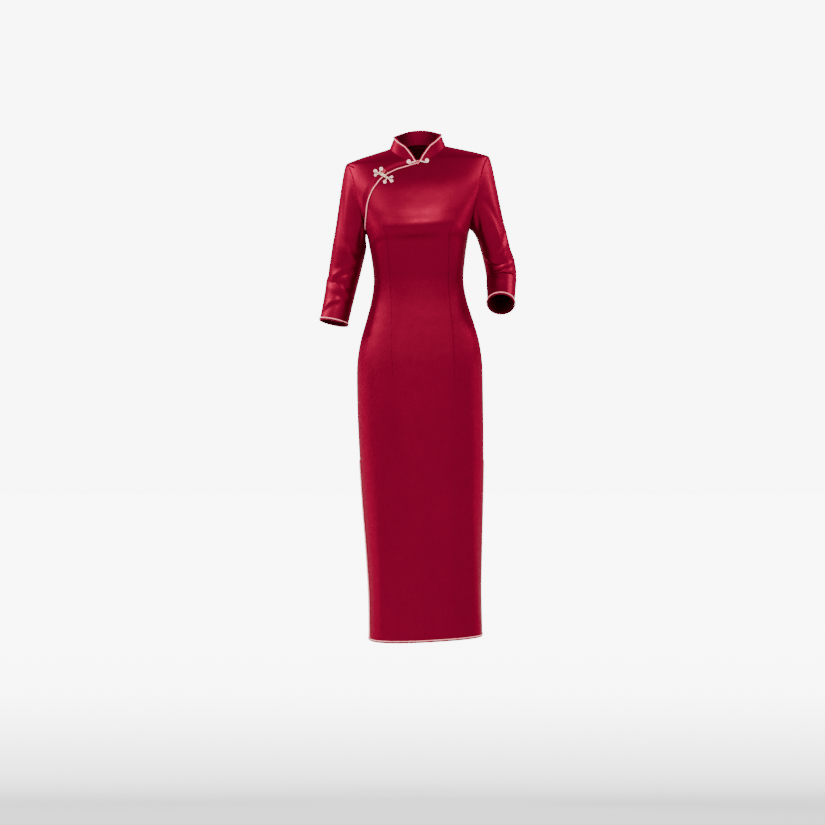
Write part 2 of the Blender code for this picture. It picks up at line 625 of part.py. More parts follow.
def on_front(places, height):
    """Points over the front from their x and z; above the neck seam they stand straight over it."""
    x, z = np.moveaxis(np.asarray(places, float), -1, 0)
    at_neck = np.interp(np.abs(x), *NECK_FRONT_SEAM)
    seat = np.minimum(z, at_neck)
    half_width, side, front, _, square = form(seat)[:5]
    y = side + (front - side) * (1 - (np.abs(x) / half_width) ** square) ** (1 / square)
    line = np.stack((x, y, seat), axis=-1)
    normal = outward(line)
    line[..., 2] += z - seat
    return posed(line + np.broadcast_to(height, x.shape)[..., None] * normal)


def coil(centre, radius, pitch, turns, start, count):
    """Flat coil winding in from a radius: start in degrees, turns negative for clockwise."""
    share = np.linspace(0, 1, count)
    angle = np.radians(start + 360 * turns * share)
    reach = radius - pitch * abs(turns) * share
    return np.stack((centre[0] + reach * np.cos(angle), centre[1] + reach * np.sin(angle)), axis=-1)


def new_material(name, colour, roughness, metallic=0.0):
    """Plain finish of a piece."""
    finish = bpy.data.materials.new(name)
    finish.use_nodes = True
    shader = finish.node_tree.nodes["Principled BSDF"]
    shader.inputs["Base Color"].default_value = (*colour, 1.0)
    shader.inputs["Roughness"].default_value = roughness
    shader.inputs["Metallic"].default_value = metallic
    return finish


def add(name, data, finish):
    """Links a piece into the dress's collection."""
    piece = bpy.data.objects.new(name, data)
    data.materials.append(finish)
    DRESS.objects.link(piece)
    return piece


def quads(first, second):
    """Faces between neighbouring lines of point numbers."""
    corners = (first[..., :-1], first[..., 1:], second[..., 1:], second[..., :-1])
    return np.stack(corners, axis=-1).reshape(-1, 4)


def wall(name, outer, inner, finish, closed=False):
    """Cloth wall: a loft over its outer and inner face, joined along their edges. A closed wall joins
    its last column to its first."""
    points = np.stack((outer, inner))
    number = np.arange(points[..., 0].size).reshape(points.shape[:3])
    if closed:
        number = np.concatenate((number, number[:, :, :1]), axis=2)
    face, lining = number
    faces = [quads(face[:-1], face[1:]), quads(lining[1:], lining[:-1]),
             quads(lining[0], face[0]), quads(face[-1], lining[-1])]
    if not closed:
        faces += [quads(face[:, 0], lining[:, 0]), quads(lining[:, -1], face[:, -1])]
    mesh = bpy.data.meshes.new(name)
    mesh.from_pydata(points.reshape(-1, 3).tolist(), [], np.concatenate(faces).tolist())
    solid = bmesh.new()
    solid.from_mesh(mesh)
    if solid.calc_volume(signed=True) < 0:
        bmesh.ops.reverse_faces(solid, faces=solid.faces)
    solid.to_mesh(mesh)
    solid.free()
    mesh.shade_smooth()
    return add(name, mesh, finish)


def panel(name, grid, finish, thickness=CLOTH):
    """Body panel: its inner face is its outer face sunk into the form."""
    return wall(name, posed(grid), posed(grid - thickness * outward(grid)), finish)


def inner_face(grid, thickness, closed=False):
    """A grid moved inwards by a thickness, towards the middle of its rows."""
    up = np.gradient(grid, axis=0)
    if closed:
        across = np.roll(grid, -1, axis=1) - np.roll(grid, 1, axis=1)
    else:
        across = np.gradient(grid, axis=1)
    normal = np.cross(across, up)
    normal /= np.linalg.norm(normal, axis=-1, keepdims=True)
    away = grid - grid.mean(axis=1, keepdims=True)
    return grid - thickness * np.sign(np.sum(normal * away)) * normal


def cord(name, points, radius, finish, closed=False):
    """Round cord through a line of points."""
    curve = bpy.data.curves.new(name, "CURVE")
    curve.dimensions = "3D"
    curve.bevel_depth = radius
    curve.bevel_resolution = 2
    curve.use_fill_caps = not closed
    spline = curve.splines.new("POLY")
    spline.points.add(len(points) - 1)
    spline.points.foreach_set("co", np.column_stack((points, np.ones(len(points)))).ravel())
    spline.use_cyclic_u = closed
    return add(name, curve, finish)


def ball(name, centre, radius, finish):
    """Small knot."""
    mesh = bpy.data.meshes.new(name)
    form_mesh = bmesh.new()
    bmesh.ops.create_uvsphere(form_mesh, u_segments=12, v_segments=8, radius=radius)
    form_mesh.to_mesh(mesh)
    form_mesh.free()
    mesh.shade_smooth()
    piece = add(name, mesh, finish)
    piece.location = centre
    return piece


def edging(name, line_at, closed=False):
    """Bound edge and its piping: line_at gives the line at a distance from the edge and a height."""
    low = np.stack([line_at(distance, TRIM_LIFT) for distance in (GAP, BINDING)])
    high = np.stack([line_at(distance, TRIM_LIFT + BINDING_WALL) for distance in (GAP, BINDING)])
    wall(name + "_binding", high, low, SATIN, closed)
    cord(name + "_piping", line_at(PIPING_INSET, TRIM_LIFT + PIPING_RADIUS), PIPING_RADIUS, PIPING, closed)


def neck_frog():
    """Neck fastening: a scroll of cord on each side of a ball knot, and the end of its loop below."""
    for name, side in (("right", -1), ("left", 1)):
        winding = coil(SCROLL_CENTRE, SCROLL_RADIUS, SCROLL_PITCH, SCROLL_TURNS, -90, SCROLL_POINTS)
        path = np.concatenate((SCROLL_TAIL, winding)) * (side, 1) + NECK_KNOT
        height = np.interp(np.abs(path[:, 0] - NECK_KNOT[0]), (0.0130, 0.0190),
                           (TRIM_HEIGHT + SCROLL_CORD, GAP + SCROLL_CORD))
        cord("frog_neck_scroll_" + name, on_front(path, height), SCROLL_CORD, FROG)
    for name, drop, radius in (("frog_neck_knot", 0.0, 0.0026), ("frog_neck_loop", -0.0052, 0.0017)):
        ball(name, on_front(NECK_KNOT + (0, drop), TRIM_HEIGHT + radius), radius, KNOT)


def flower_frog():
    """Chest fastening: two heads of coiled petals joined by two cords over the opening."""
    for head, (centre, petals) in FLOWER.items():
        for number, (*petal, radius) in enumerate(petals, 1):
            aim = np.subtract(centre, petal)
            start = centre - aim / np.linalg.norm(aim) * (CORE_RADIUS + GAP + PETAL_CORD)
            reach = radius - PETAL_CORD
            turns = (reach - PETAL_HEART) / PETAL_PITCH
            winding = coil(petal, reach, PETAL_PITCH, turns, math.degrees(math.atan2(*aim[::-1])),
                           round(turns * PETAL_POINTS))
            path = np.concatenate((start[None], winding)) + FLOWER_CENTRE
            cord(f"frog_flower_petal_{head}_{number}", on_front(path, GAP + PETAL_CORD), PETAL_CORD, FROG)
        core = on_front(centre + FLOWER_CENTRE, GAP + CORE_RADIUS)
        ball("frog_flower_core_" + head, core, CORE_RADIUS, GOLD)
    high, low = (np.array(FLOWER[head][0]) for head in ("upper", "lower"))
    along, height = np.array(BAR).T
    beside_it = np.array((low[1] - high[1], high[0] - low[0])) / np.linalg.norm(low - high) * BAR_APART
    for name, side in (("upper", 1), ("lower", -1)):
        path = high + along[:, None] * (low - high) - side * beside_it + FLOWER_CENTRE
        cord("frog_flower_bar_" + name, on_front(path, height), BAR_CORD, GOLD)
    ball("frog_flower_bud", on_front(BUD + FLOWER_CENTRE, TRIM_HEIGHT + BUD_RADIUS), BUD_RADIUS, GOLD)
    ring_path = coil(LOOP, LOOP_RADIUS, 0.0, 1 - 1 / LOOP_POINTS, 0, LOOP_POINTS) + FLOWER_CENTRE
    cord("frog_flower_loop", on_front(ring_path, GAP + LOOP_CORD), LOOP_CORD, KNOT, closed=True)


for old in list(bpy.data.objects):
    bpy.data.objects.remove(old, do_unlink=True)
DRESS = bpy.data.collections.new("cheongsam_dress")
bpy.context.scene.collection.children.link(DRESS)
SATIN = new_material("wine_satin", (0.28, 0.004, 0.022), 0.32)
PIPING = new_material("pink_piping", (0.90, 0.45, 0.46), 0.45)
FROG = new_material("pale_frog_cord", (0.90, 0.70, 0.66), 0.45)
GOLD = new_material("champagne_cord", (0.78, 0.56, 0.38), 0.40)
KNOT = new_material("rose_knot", (0.75, 0.18, 0.22), 0.45)

panel("front", front_grid(), SATIN)
panel("front_under", under_grid(), SATIN)
panel("back", back_grid(), SATIN)
for hand in ("left", "right"):
    sleeve = sleeve_walls(hand)
    wall("sleeve_" + hand, *sleeve, SATIN, closed=True)
    edging("cuff_" + hand, lambda distance, height: over_cuff(*sleeve, distance, height), closed=True)
collar = posed(collar_grid())
wall("collar", collar, inner_face(collar, COLLAR_CLOTH), SATIN)
edging("collar", over_collar)
overlap = evenly(opening_edge(), OPENING_STEPS + 1, (0.0, OPENING_LOW))[::-1]
edging("opening", lambda distance, height: over_body(beside(overlap, distance) - (0, SEAM, 0), height))
edging("front_hem", lambda distance, height: over_body(hem_path(distance, False), height))
edging("back_hem", lambda distance, height: over_body(hem_path(distance, True), height))
neck_frog()
flower_frog()
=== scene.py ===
import math

import bpy
import numpy as np
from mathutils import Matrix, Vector


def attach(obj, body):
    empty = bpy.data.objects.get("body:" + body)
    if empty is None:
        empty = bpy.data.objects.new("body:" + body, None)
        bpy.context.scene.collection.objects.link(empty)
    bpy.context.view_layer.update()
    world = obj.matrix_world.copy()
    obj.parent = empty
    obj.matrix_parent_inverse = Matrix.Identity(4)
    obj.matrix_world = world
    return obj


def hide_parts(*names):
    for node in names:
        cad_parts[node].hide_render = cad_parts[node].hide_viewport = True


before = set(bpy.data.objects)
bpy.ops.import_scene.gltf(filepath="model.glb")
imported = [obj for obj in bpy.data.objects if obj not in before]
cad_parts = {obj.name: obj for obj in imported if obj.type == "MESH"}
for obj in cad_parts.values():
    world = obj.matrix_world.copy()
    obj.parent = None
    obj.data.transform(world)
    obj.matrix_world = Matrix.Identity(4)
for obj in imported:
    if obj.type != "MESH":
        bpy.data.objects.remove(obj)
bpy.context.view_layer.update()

# Studio. The dress hangs in the air as it is worn, over a wide white floor, before a lit white
# wall. The floor glows as brightly as the wall far off, and its glow fades near the dress as a
# painted shade under it. A wide soft box stands high in front of the dress and one at each side,
# the stronger on its right, and a band of diffused lamps runs round the dim room, faint in front
# and behind.
CAMERA_PLACE = (-0.0108, -16.0, -0.630)
FRAME_WIDTH = 1.98       # metres across the frame at the dress
SENSOR = 36.0
FAR_CLIP = 200.0
FLOOR_Z = -1.56
FLOOR_REACH = 60.0
GLOW_RUN = 20.0          # metres behind the dress over which the floor's glow is read; dim near the dress as painted shade
# glow of the floor by share of that run: low near the dress as a painted shade, full far back
FLOOR_GLOW_AND_PAINTED_SHADE = ((0.0, 0.05), (0.04, 0.20), (0.30, 0.90), (0.60, 1.0))
SOFT_BOXES = (
    # degrees from the front towards the wearer's left, distance, height, width, tall, watts
    (8, 3.1, 1.70, 2.6, 0.3, 92.0),
    (-108, 2.8, 1.00, 1.0, 1.0, 78.0),
    (106, 2.8, 1.00, 1.0, 1.0, 48.0),
)
BOX_AIM = (0, 0, -0.25)
BACKDROP = 8.0           # brightness of the wall behind the dress, and of the floor up to it
WALL_EDGE = ((0.993, 0.0), (0.9955, 1.0))        # light by how squarely a direction points back
ROOM = 1.45              # brightness of the room in front of the dress
ROOM_ROUND = ((0.10, 1.0), (0.50, 0.48), (0.85, 0.16))      # by share of the way from front to back
BAND = 6.0               # brightness of the band of lamps, half way round
BAND_LEAN = 2.4          # how much brighter it is on the wearer's right, and dimmer on the left
BAND_ROUND = ((0.0, 0.12), (0.15, 0.24), (0.45, 1.0), (0.60, 0.6), (0.85, 0.10))
BAND_HEIGHT = ((0.24, 0.0), (0.36, 1.0), (0.50, 1.0), (0.68, 0.0))      # by the sine of the rise


class Socket:
    """One socket of a material's nodes. Arithmetic on it with numbers or other sockets adds Math
    nodes, and node() adds any other node beside it."""

    def __init__(self, socket):
        self.socket = socket
        self.tree = socket.id_data

    def node(self, kind, settings=(), sockets=(), output=0):
        """Adds a node: its settings first, a ramp's stops among them, then its sockets' values or
        links."""
        made = self.tree.nodes.new(kind)
        for key, value in dict(settings).items():
            if key == "stops":
                marks = made.color_ramp.elements
                for place, _ in value[len(marks):]:
                    marks.new(place)
                for mark, (place, shade) in zip(marks, value):
                    mark.position = place
                    mark.color = (shade, shade, shade, 1.0)
            else:
                setattr(made, key, value)
        for key, value in dict(sockets).items():
            if isinstance(value, Socket):
                self.tree.links.new(value.socket, made.inputs[key])
            else:
                made.inputs[key].default_value = value
        return Socket(made.outputs[output])

    def maths(self, operation, *terms):
        return self.node("ShaderNodeMath", {"operation": operation}, enumerate(terms))

    __add__ = __radd__ = lambda self, other: self.maths("ADD", self, other)
    __mul__ = __rmul__ = lambda self, other: self.maths("MULTIPLY", self, other)
    __sub__ = lambda self, other: self.maths("SUBTRACT", self, other)
    __rsub__ = lambda self, other: self.maths("SUBTRACT", other, self)
    __truediv__ = lambda self, other: self.maths("DIVIDE", self, other)
    __rtruediv__ = lambda self, other: self.maths("DIVIDE", other, self)


def ramp(share, stops):
    """Number at a share, read between a ramp's stops."""
    return share.node("ShaderNodeValToRGB", {"stops": stops}, {0: share})


def axes_of(vector):
    """The three numbers of a vector."""
    made = vector.node("ShaderNodeSeparateXYZ", (), {0: vector}).socket.node
    return [Socket(number) for number in made.outputs]


def wave(distance, pitch):
    """Sine of a distance, once round for each pitch."""
    return distance.maths("SINE", distance * (2 * math.pi / pitch))


def mixed(share, *colours):
    """Colour between two, by share."""
    first, second = (colour if isinstance(colour, Socket) else (*colour, 1.0) for colour in colours)
    return share.node("ShaderNodeMix", {"data_type": "RGBA"}, {0: share, 6: first, 7: second}, 2)


def noise(place, scale, detail=2.0, roughness=0.5, stretch=(1.0, 1.0, 1.0)):
    """Soft noise from 0 to 1 on coordinates stretched along their axes."""
    at = place.node("ShaderNodeVectorMath", {"operation": "MULTIPLY"}, {0: place, 1: stretch})
    return place.node("ShaderNodeTexNoise", (), {"Vector": at, "Scale": scale, "Detail": detail,
                                                 "Roughness": roughness})


def new_finish(name, **constants):
    """A material with its shader's plain sockets set. Gives the material, its shader, the Object
    coordinates and the two numbers of the piece's own UV map, in metres across and along the
    cloth."""
    finish = bpy.data.materials.new(name)
    finish.use_nodes = True
    shader = finish.node_tree.nodes["Principled BSDF"]
    for key, value in constants.items():
        shader.inputs[key.replace("_", " ")].default_value = value
    place = Socket(finish.node_tree.nodes.new("ShaderNodeTexCoord").outputs["Object"])
    across, along, _ = axes_of(place.node("ShaderNodeUVMap", {"uv_map": "cloth"}))
    return finish, shader, place, across, along


def wear_finish(shader, rise=None, **links):
    """Links a finish's worked-out numbers and colours to its shader, and the normals of a rise in
    metres."""
    if rise:
        links["Normal"] = rise.node("ShaderNodeBump", (), {"Strength": 1.0, "Distance": 1.0,
                                                           "Height": rise})
    for key, value in links.items():
        value.tree.links.new(value.socket, shader.inputs[key.replace("_", " ")])


def placed(name, data):
    """A new object of a camera, light or mesh, in the scene."""
    made = bpy.data.objects.new(name, data)
    bpy.context.scene.collection.objects.link(made)
    return made


view = bpy.data.cameras.new("studio_view")
view.sensor_width = SENSOR
view.lens = SENSOR * abs(CAMERA_PLACE[1]) / FRAME_WIDTH
view.clip_end = FAR_CLIP
viewer = placed("studio_view", view)
viewer.location = CAMERA_PLACE
viewer.rotation_euler = (math.radians(90), 0, 0)
bpy.context.scene.camera = viewer

for number, (turn, far, high, width, tall, watts) in enumerate(SOFT_BOXES):
    box = bpy.data.lights.new(f"soft_box_{number}", "AREA")
    box.shape = "RECTANGLE"
    box.size, box.size_y, box.energy = width, tall, watts
    stand = placed(box.name, box)
    turn = math.radians(turn)
    stand.location = (far * math.sin(turn), -far * math.cos(turn), high)
    stand.rotation_euler = (Vector(BOX_AIM) - stand.location).to_track_quat("-Z", "Y").to_euler()

room = bpy.data.worlds.new("white_room")
room.use_nodes = True
bpy.context.scene.world = room
sky = room.node_tree.nodes["Background"]
sky.inputs["Color"].default_value = (1.0, 1.0, 1.0, 1.0)
compass = room.node_tree.nodes.new("ShaderNodeTexCoord")
leftward, rearward, upward = axes_of(Socket(compass.outputs["Generated"]))
way_back = rearward * 0.5 + 0.5
wall = ramp(rearward, WALL_EDGE) * BACKDROP
lamps = ramp(way_back, BAND_ROUND) * ramp(upward, BAND_HEIGHT) * (BAND - leftward * BAND_LEAN)
wear_finish(sky, Strength=wall + lamps + ramp(way_back, ROOM_ROUND) * ROOM)

floor_mesh = bpy.data.meshes.new("studio_floor")
floor_mesh.from_pydata([(x * FLOOR_REACH, y * FLOOR_REACH, FLOOR_Z)
                        for x, y in ((-1, -1), (1, -1), (1, 1), (-1, 1))], [], [(0, 1, 2, 3)])
paint, paint_shader, paint_place, _, _ = new_finish(
    "white_floor", Roughness=0.9, Specular_IOR_Level=0.0, Emission_Strength=BACKDROP)
# The floor glows: dim under and near the dress as a painted shade, as bright as the wall far back.
wear_finish(paint_shader,
            Base_Color=mixed(noise(paint_place, 3.0), (0.60, 0.60, 0.60), (0.63, 0.63, 0.63)),
            Emission_Color=ramp(axes_of(paint_place)[1] / GLOW_RUN, FLOOR_GLOW_AND_PAINTED_SHADE))
floor_mesh.materials.append(paint)
floor = placed("studio_floor", floor_mesh)


# Front. One length of wine-red satin from neck to hem, darted to the figure, with a slit at each
# side. Its top right corner is cut away along the slanted opening, where it laps over the under
# front. It is cut, interfaced at the edges and seamed to the back, the left sleeve and the collar.
CLOTH = 0.0012           # wall, satin and lining
GAP = 0.0003             # air at every seam
HEM_Z = -1.170
SLIT_Z = -0.745
SLIT_OPEN = 0.0016       # how far each slit edge has moved in at the hem
FAN_Z = -0.300           # rings below this height are level
UNDERARM_Z = -0.198
SHOULDER_Z = -0.024
NECK_SIDE_Z = 0.006
ARMHOLE_FRONT = 0.052
ARMHOLE_BACK = 0.058
NECK_HALF_WIDTH = 0.068
NECK_FRONT = 0.067
NECK_BACK = 0.052
NECK_SIDE_Y = -0.002
NECK_SEARCH = (-0.06, 0.03)      # heights between which the neck seam lies
NECK_HALVINGS = 40
SHOULDER_TILT = 0.055    # rise of the left shoulder over the right, for each metre of width
TILT_HEIGHTS = (-0.36, -0.16)
HEM_TILT = (0.037, 0.086)      # rise of the hem, for each metre to the left and for each backwards
HEM_TILT_TOP = -0.70     # where that tilt begins
SKIRT_ROWS = 112
SIDE_ROWS = 26           # up a side seam, from the last level ring to the underarm
ARM_ROWS = 48            # up half an armhole
FRONT_COLUMNS = (48, 42, 24)      # opening edge, neck, shoulder
SMOOTHING = 150
RING_FINE = 721          # points of a level ring before it is respaced, and of a quarter of one
QUARTER_FINE = 181
ARMHOLE_FINE = 640
SEAM_FINE = 240
FORM_PASSES = 6
TROUGH = 0.55            # depth of the trough beside a fold, as a share of its rise
TROUGH_OFF = 1.7         # how far off it is, in half widths of the fold

# height, half width, y of the side seam, y of the front, y of the back, squareness, turn, shift
FORM = np.array((
    (-1.180, 0.1357, -0.002, -0.110, 0.106, 2.50, 10.0, 0.0205),
    (-1.080, 0.1347, -0.001, -0.109, 0.107, 2.48, 9.3, 0.0190),
    (-0.960, 0.1387, 0.000, -0.108, 0.110, 2.45, 8.4, 0.0165),
    (-0.840, 0.1447, 0.002, -0.108, 0.115, 2.42, 7.4, 0.0135),
    (-0.740, 0.1487, 0.004, -0.108, 0.121, 2.38, 6.5, 0.0115),
    (-0.640, 0.1510, 0.006, -0.108, 0.127, 2.34, 5.4, 0.0090),
    (-0.560, 0.1514, 0.007, -0.107, 0.131, 2.32, 4.4, 0.0075),
    (-0.500, 0.1492, 0.006, -0.105, 0.128, 2.30, 3.6, 0.0070),
    (-0.456, 0.1417, 0.004, -0.102, 0.119, 2.28, 3.0, 0.0070),
    (-0.408, 0.1280, 0.000, -0.098, 0.103, 2.25, 2.3, 0.0065),
    (-0.360, 0.1143, -0.004, -0.094, 0.087, 2.22, 1.6, 0.0050),
    (-0.312, 0.1078, -0.006, -0.093, 0.080, 2.20, 1.0, 0.0038),
    (-0.264, 0.1120, -0.006, -0.104, 0.088, 2.22, 0.5, 0.0035),
    (-0.228, 0.1176, -0.006, -0.119, 0.098, 2.26, 0.2, 0.0030),
    (-0.198, 0.1236, -0.006, -0.137, 0.105, 2.30, 0.0, 0.0028),
    (-0.178, 0.1300, -0.006, -0.141, 0.108, 2.32, 0.0, 0.0026),
    (-0.155, 0.1380, -0.006, -0.137, 0.109, 2.34, 0.0, 0.0024),
    (-0.120, 0.1526, -0.004, -0.124, 0.107, 2.30, 0.0, 0.0020),
    (-0.080, 0.1660, -0.002, -0.105, 0.099, 2.22, 0.0, 0.0018),
    (-0.050, 0.1722, -0.001, -0.084, 0.089, 2.16, 0.0, 0.0015),
    (-0.034, 0.1727, -0.001, -0.072, 0.081, 2.14, 0.0, 0.0015),
    (-0.024, 0.1700, -0.001, -0.064, 0.076, 2.12, 0.0, 0.0015),
    (-0.0185, 0.1555, -0.001, -0.059, 0.073, 2.11, 0.0, 0.0015),
    (-0.0125, 0.1370, -0.001, -0.053, 0.069, 2.10, 0.0, 0.0015),
    (-0.004, 0.1050, -0.001, -0.043, 0.064, 2.10, 0.0, 0.0015),
    (0.006, 0.0680, -0.002, -0.032, 0.058, 2.10, 0.0, 0.0015),
    (0.014, 0.0480, -0.002, -0.026, 0.050, 2.10, 0.0, 0.0015),
    (0.030, 0.0300, -0.002, -0.020, 0.040, 2.10, 0.0, 0.0015),
))
# x, y, z down the slanted opening, from the neck to the right underarm
OPENING = np.array((
    (0.0020, -0.069, -0.0302),
    (-0.0305, -0.075, -0.0380),
    (-0.0510, -0.076, -0.0439),
    (-0.0690, -0.077, -0.0528),
    (-0.0882, -0.079, -0.0662),
    (-0.1000, -0.080, -0.0825),
    (-0.1118, -0.081, -0.1032),
    (-0.1200, -0.081, -0.1242),
    (-0.1248, -0.077, -0.1465),
    (-0.1260, -0.055, -0.1690),
    (-0.1236, -0.006, -0.1980),
))
OPENING_CORNER = 0.44    # share of the opening edge that is the panel's top, the rest is its side

# Folds of the front, on its flat cut: middle across and up, half length, half width, lean from
# upright in degrees, bend, rise. Each is a soft ridge with a shallower trough beside it; below 0
# the other way.
FRONT_FOLDS = (
    (-0.128, -0.215, 0.030, 0.0070, 62, 0.10, 0.0010),
    (-0.110, -0.236, 0.034, 0.0080, 74, 0.12, 0.0007),
    (0.128, -0.205, 0.034, 0.0070, -60, -0.10, 0.0010),
    (0.114, -0.232, 0.034, 0.0080, -72, -0.14, 0.0007),
    (0.002, -0.188, 0.118, 0.0200, 90, 0.03, 0.0048),
    (-0.066, -0.560, 0.130, 0.0150, 3, 0.02, 0.0013),
    (0.074, -0.500, 0.110, 0.0140, -3, -0.02, 0.0013),
    (-0.118, -0.840, 0.260, 0.0200, 3, 0.02, 0.0020),
    (-0.030, -0.980, 0.230, 0.0240, -2, 0.02, 0.0016),
    (0.050, -0.900, 0.260, 0.0220, 2, -0.02, 0.0018),
    (0.120, -1.020, 0.200, 0.0180, -3, 0.02, 0.0020),
)

# Darts: lowest and highest point, then the stops of a ramp between them: share of the height, and
# the distance across as a share of the dart field, 0.5 being the middle.
FRONT_DARTS = (
    (-0.560, -0.170, ((0.0, 0.318), (0.27, 0.311), (0.48, 0.321), (0.73, 0.315), (1.0, 0.290))),
    (-0.560, -0.170, ((0.0, 0.690), (0.27, 0.694), (0.48, 0.686), (0.73, 0.684), (1.0, 0.706))),
)
DART_FIELD = 0.4
DART_FADE = ((0.0, 0.0), (0.12, 1.0), (0.88, 1.0), (1.0, 0.0))      # how deep along its length
DART_WIDTH = 0.0011
DART_DEPTH = 0.0007
# dark red of the painted shade in each dart's groove
DART_PAINTED_SHADE_RED = (0.050, 0.0010, 0.0050)
WINE_RED = ((0.130, 0.0022, 0.0142), (0.152, 0.0028, 0.0170))
SLUB_RED = (0.194, 0.0046, 0.0245)
EDGE_TINT = (0.50, 0.45, 0.47, 1.0)
SATIN_GLOSS = ((0.30, 0.85), (0.72, 0.2))      # metallic gloss, from facing the eye to edge on
SATIN_SCALES = (7.0, 42.0, 14.0, 260.0)      # of its drift, fine crumple, soft crumple and slubs
SATIN_RISES = (0.00030, 0.0008, 0.00004)     # of the last three
SATIN_ROUGH = (0.34, 0.12)
SLUB_STRETCH = (1.0, 1.0, 0.12)
SLUB_SHARE = 0.25        # how much slubs change the colour; the next is how much painted shade darkens a dart's groove
DART_PAINTED_SHADE_SHARE = 0.45
THREAD = 0.00042         # pitch of the threads across
FLOAT = (0.0021, 0.0011)       # pitch of the floats, across and along
THREAD_RISE = 0.000006


def grid_of(*parts):
    """Points or flat places from the arrays of their coordinates."""
    return np.stack(np.broadcast_arrays(*parts), axis=-1)


def unit(vectors):
    """Vectors over their lengths."""
    return vectors / np.linalg.norm(vectors, axis=-1, keepdims=True)


def way(value, start, end):
    """Share of the way from start to end, held between 0 and 1."""
    return np.clip((value - start) / (end - start), 0, 1)


def eased(value, start, end):
    """That share s as 3s^2 - 2s^3, level at both ends."""
    share = way(value, start, end)
    return share * share * (3 - 2 * share)


def rest_of(share, power):
    """How far a superellipse reaches one way at a share of its reach the other way."""
    return (1 - share ** power) ** (1 / power)


def smooth(at, values, x):
    """Cubic curve through a table; the slope at a row is that between its neighbours, flat at a
    peak."""
    secant = np.diff(values) / np.diff(at)
    slope = np.gradient(values, at)
    limit = 3 * np.minimum(np.abs(secant[1:]), np.abs(secant[:-1])) * (secant[1:] * secant[:-1] > 0)
    slope[1:-1] = np.clip(slope[1:-1], -limit, limit)
    x = np.clip(x, at[0], at[-1])
    i = np.clip(np.searchsorted(at, x) - 1, 0, len(at) - 2)
    step = at[i + 1] - at[i]
    t = (x - at[i]) / step
    return ((1 + 2 * t) * (1 - t) ** 2 * values[i] + t * (1 - t) ** 2 * step * slope[i]
            + t * t * (3 - 2 * t) * values[i + 1] + t * t * (t - 1) * step * slope[i + 1])


def form(z):
    """The worn form's half width, side y, front y, back y, squareness, turn and shift at a
    height."""
    return [smooth(FORM[:, 0], FORM[:, column], z) for column in range(1, 8)]


def off_form(points):
    """How far outside the form points are: (|x / width| ^ n + |y / depth| ^ n) ^ (1 / n) - 1."""
    x, y, z = np.moveaxis(points, -1, 0)
    half_width, side, front, back, square = form(z)[:5]
    depth = np.where(y < side, side - front, back - side)
    across, deep = np.abs(x) / half_width, np.abs(y - side) / depth
    return (across ** square + deep ** square) ** (1 / square) - 1


def steepest(points):
    """Gradient of off_form, by differences of a hundredth of a millimetre."""
    step = 1e-5
    slopes = [(off_form(points + step * axis) - off_form(points - step * axis)) / (2 * step)
              for axis in np.eye(3)]
    return grid_of(*slopes)


def to_form(points):
    """Points moved onto the form: each pass takes off off_form times its gradient over its
    square."""
    points = np.array(points, float)
    for _ in range(FORM_PASSES):
        slope = steepest(points)
        size = np.maximum(np.sum(slope * slope, axis=-1), 1e-6)
        points -= (off_form(points) / size)[..., None] * slope
    return points


def outward(points):
    """Unit normals of the form: its gradient over the gradient's length."""
    return unit(steepest(points))


def posed(points):
    """Upright form into worn pose: turned about z by a height's angle, shifted, and tilted at
    shoulders and hem."""
    x, y, z = np.moveaxis(np.array(points, float), -1, 0)
    turn, shift = form(z)[5:]
    turn = np.radians(turn)
    new_x = x * np.cos(turn) - y * np.sin(turn) + shift
    new_y = x * np.sin(turn) + y * np.cos(turn)
    tilt = SHOULDER_TILT * eased(z, *TILT_HEIGHTS) * new_x
    share = way(z, HEM_TILT_TOP, HEM_Z)
    hem = share * share * (HEM_TILT[0] * new_x + HEM_TILT[1] * new_y)
    return grid_of(new_x, new_y, z + tilt + hem)


def lengths(points):
    """Distance along a line of points, from its first: the running sum of its steps."""
    steps = np.linalg.norm(np.diff(points, axis=0), axis=1)
    return np.concatenate(((0.0,), np.cumsum(steps)))


def spaced(points, shares, inset=0.0):
    """Points of a line at shares of its length, measured between two ends moved in by inset."""
    along = lengths(points)
    wanted = inset + shares * (along[-1] - 2 * inset)
    return grid_of(*(np.interp(wanted, along, row) for row in points.T))


def evenly(points, steps, part=(0.0, 1.0)):
    """A line of points, or part of it between two shares of its length, respaced in equal steps."""
    return spaced(points, np.linspace(*part, steps + 1))


def through(points, count):
    """Smooth line through a few points, in equal steps."""
    along = lengths(points)
    fine = np.linspace(0, along[-1], 4 * count)
    return evenly(grid_of(*(smooth(along, row, fine) for row in points.T)), count - 1)


def level_line(z, angle, back):
    """Level line of the form, by angle from a panel's middle: half width * sin ^ (2 / n) across,
    and depth * cos ^ (2 / n) from the side seam."""
    half_width, side, front, rear, square = form(z)[:5]
    x = half_width * np.sign(angle) * np.abs(np.sin(angle)) ** (2 / square)
    return x, side + ((rear if back else front) - side) * np.abs(np.cos(angle)) ** (2 / square)


def ring(z, shares, back=False, inset=0.0):
    """Points across one panel at height z: shares run from -1 at the right seam to 1 at the left,
    measured along the cloth between two edges moved in by inset."""
    x, y = level_line(z, np.radians(np.linspace(-90, 90, RING_FINE)), back)
    return spaced(grid_of(x, y, z), (np.asarray(shares) + 1) / 2, inset)


def slit_inset(z):
    """How far a slit edge has moved in at height z: none at the slit's top, growing evenly to the
    hem."""
    return SLIT_OPEN * way(z, SLIT_Z, HEM_Z)


def side_seam(side, low, high, count):
    """Side seam between two heights; side is -1 on the right, 1 on the left."""
    z = np.linspace(low, high, count)
    half_width, middle = form(z)[:2]
    return grid_of(side * half_width, middle, z)


def shoulder_seam(side, steps):
    """Shoulder seam from the armhole to the neck, along the crest of the form."""
    return evenly(side_seam(side, SHOULDER_Z, NECK_SIDE_Z, SEAM_FINE), steps)


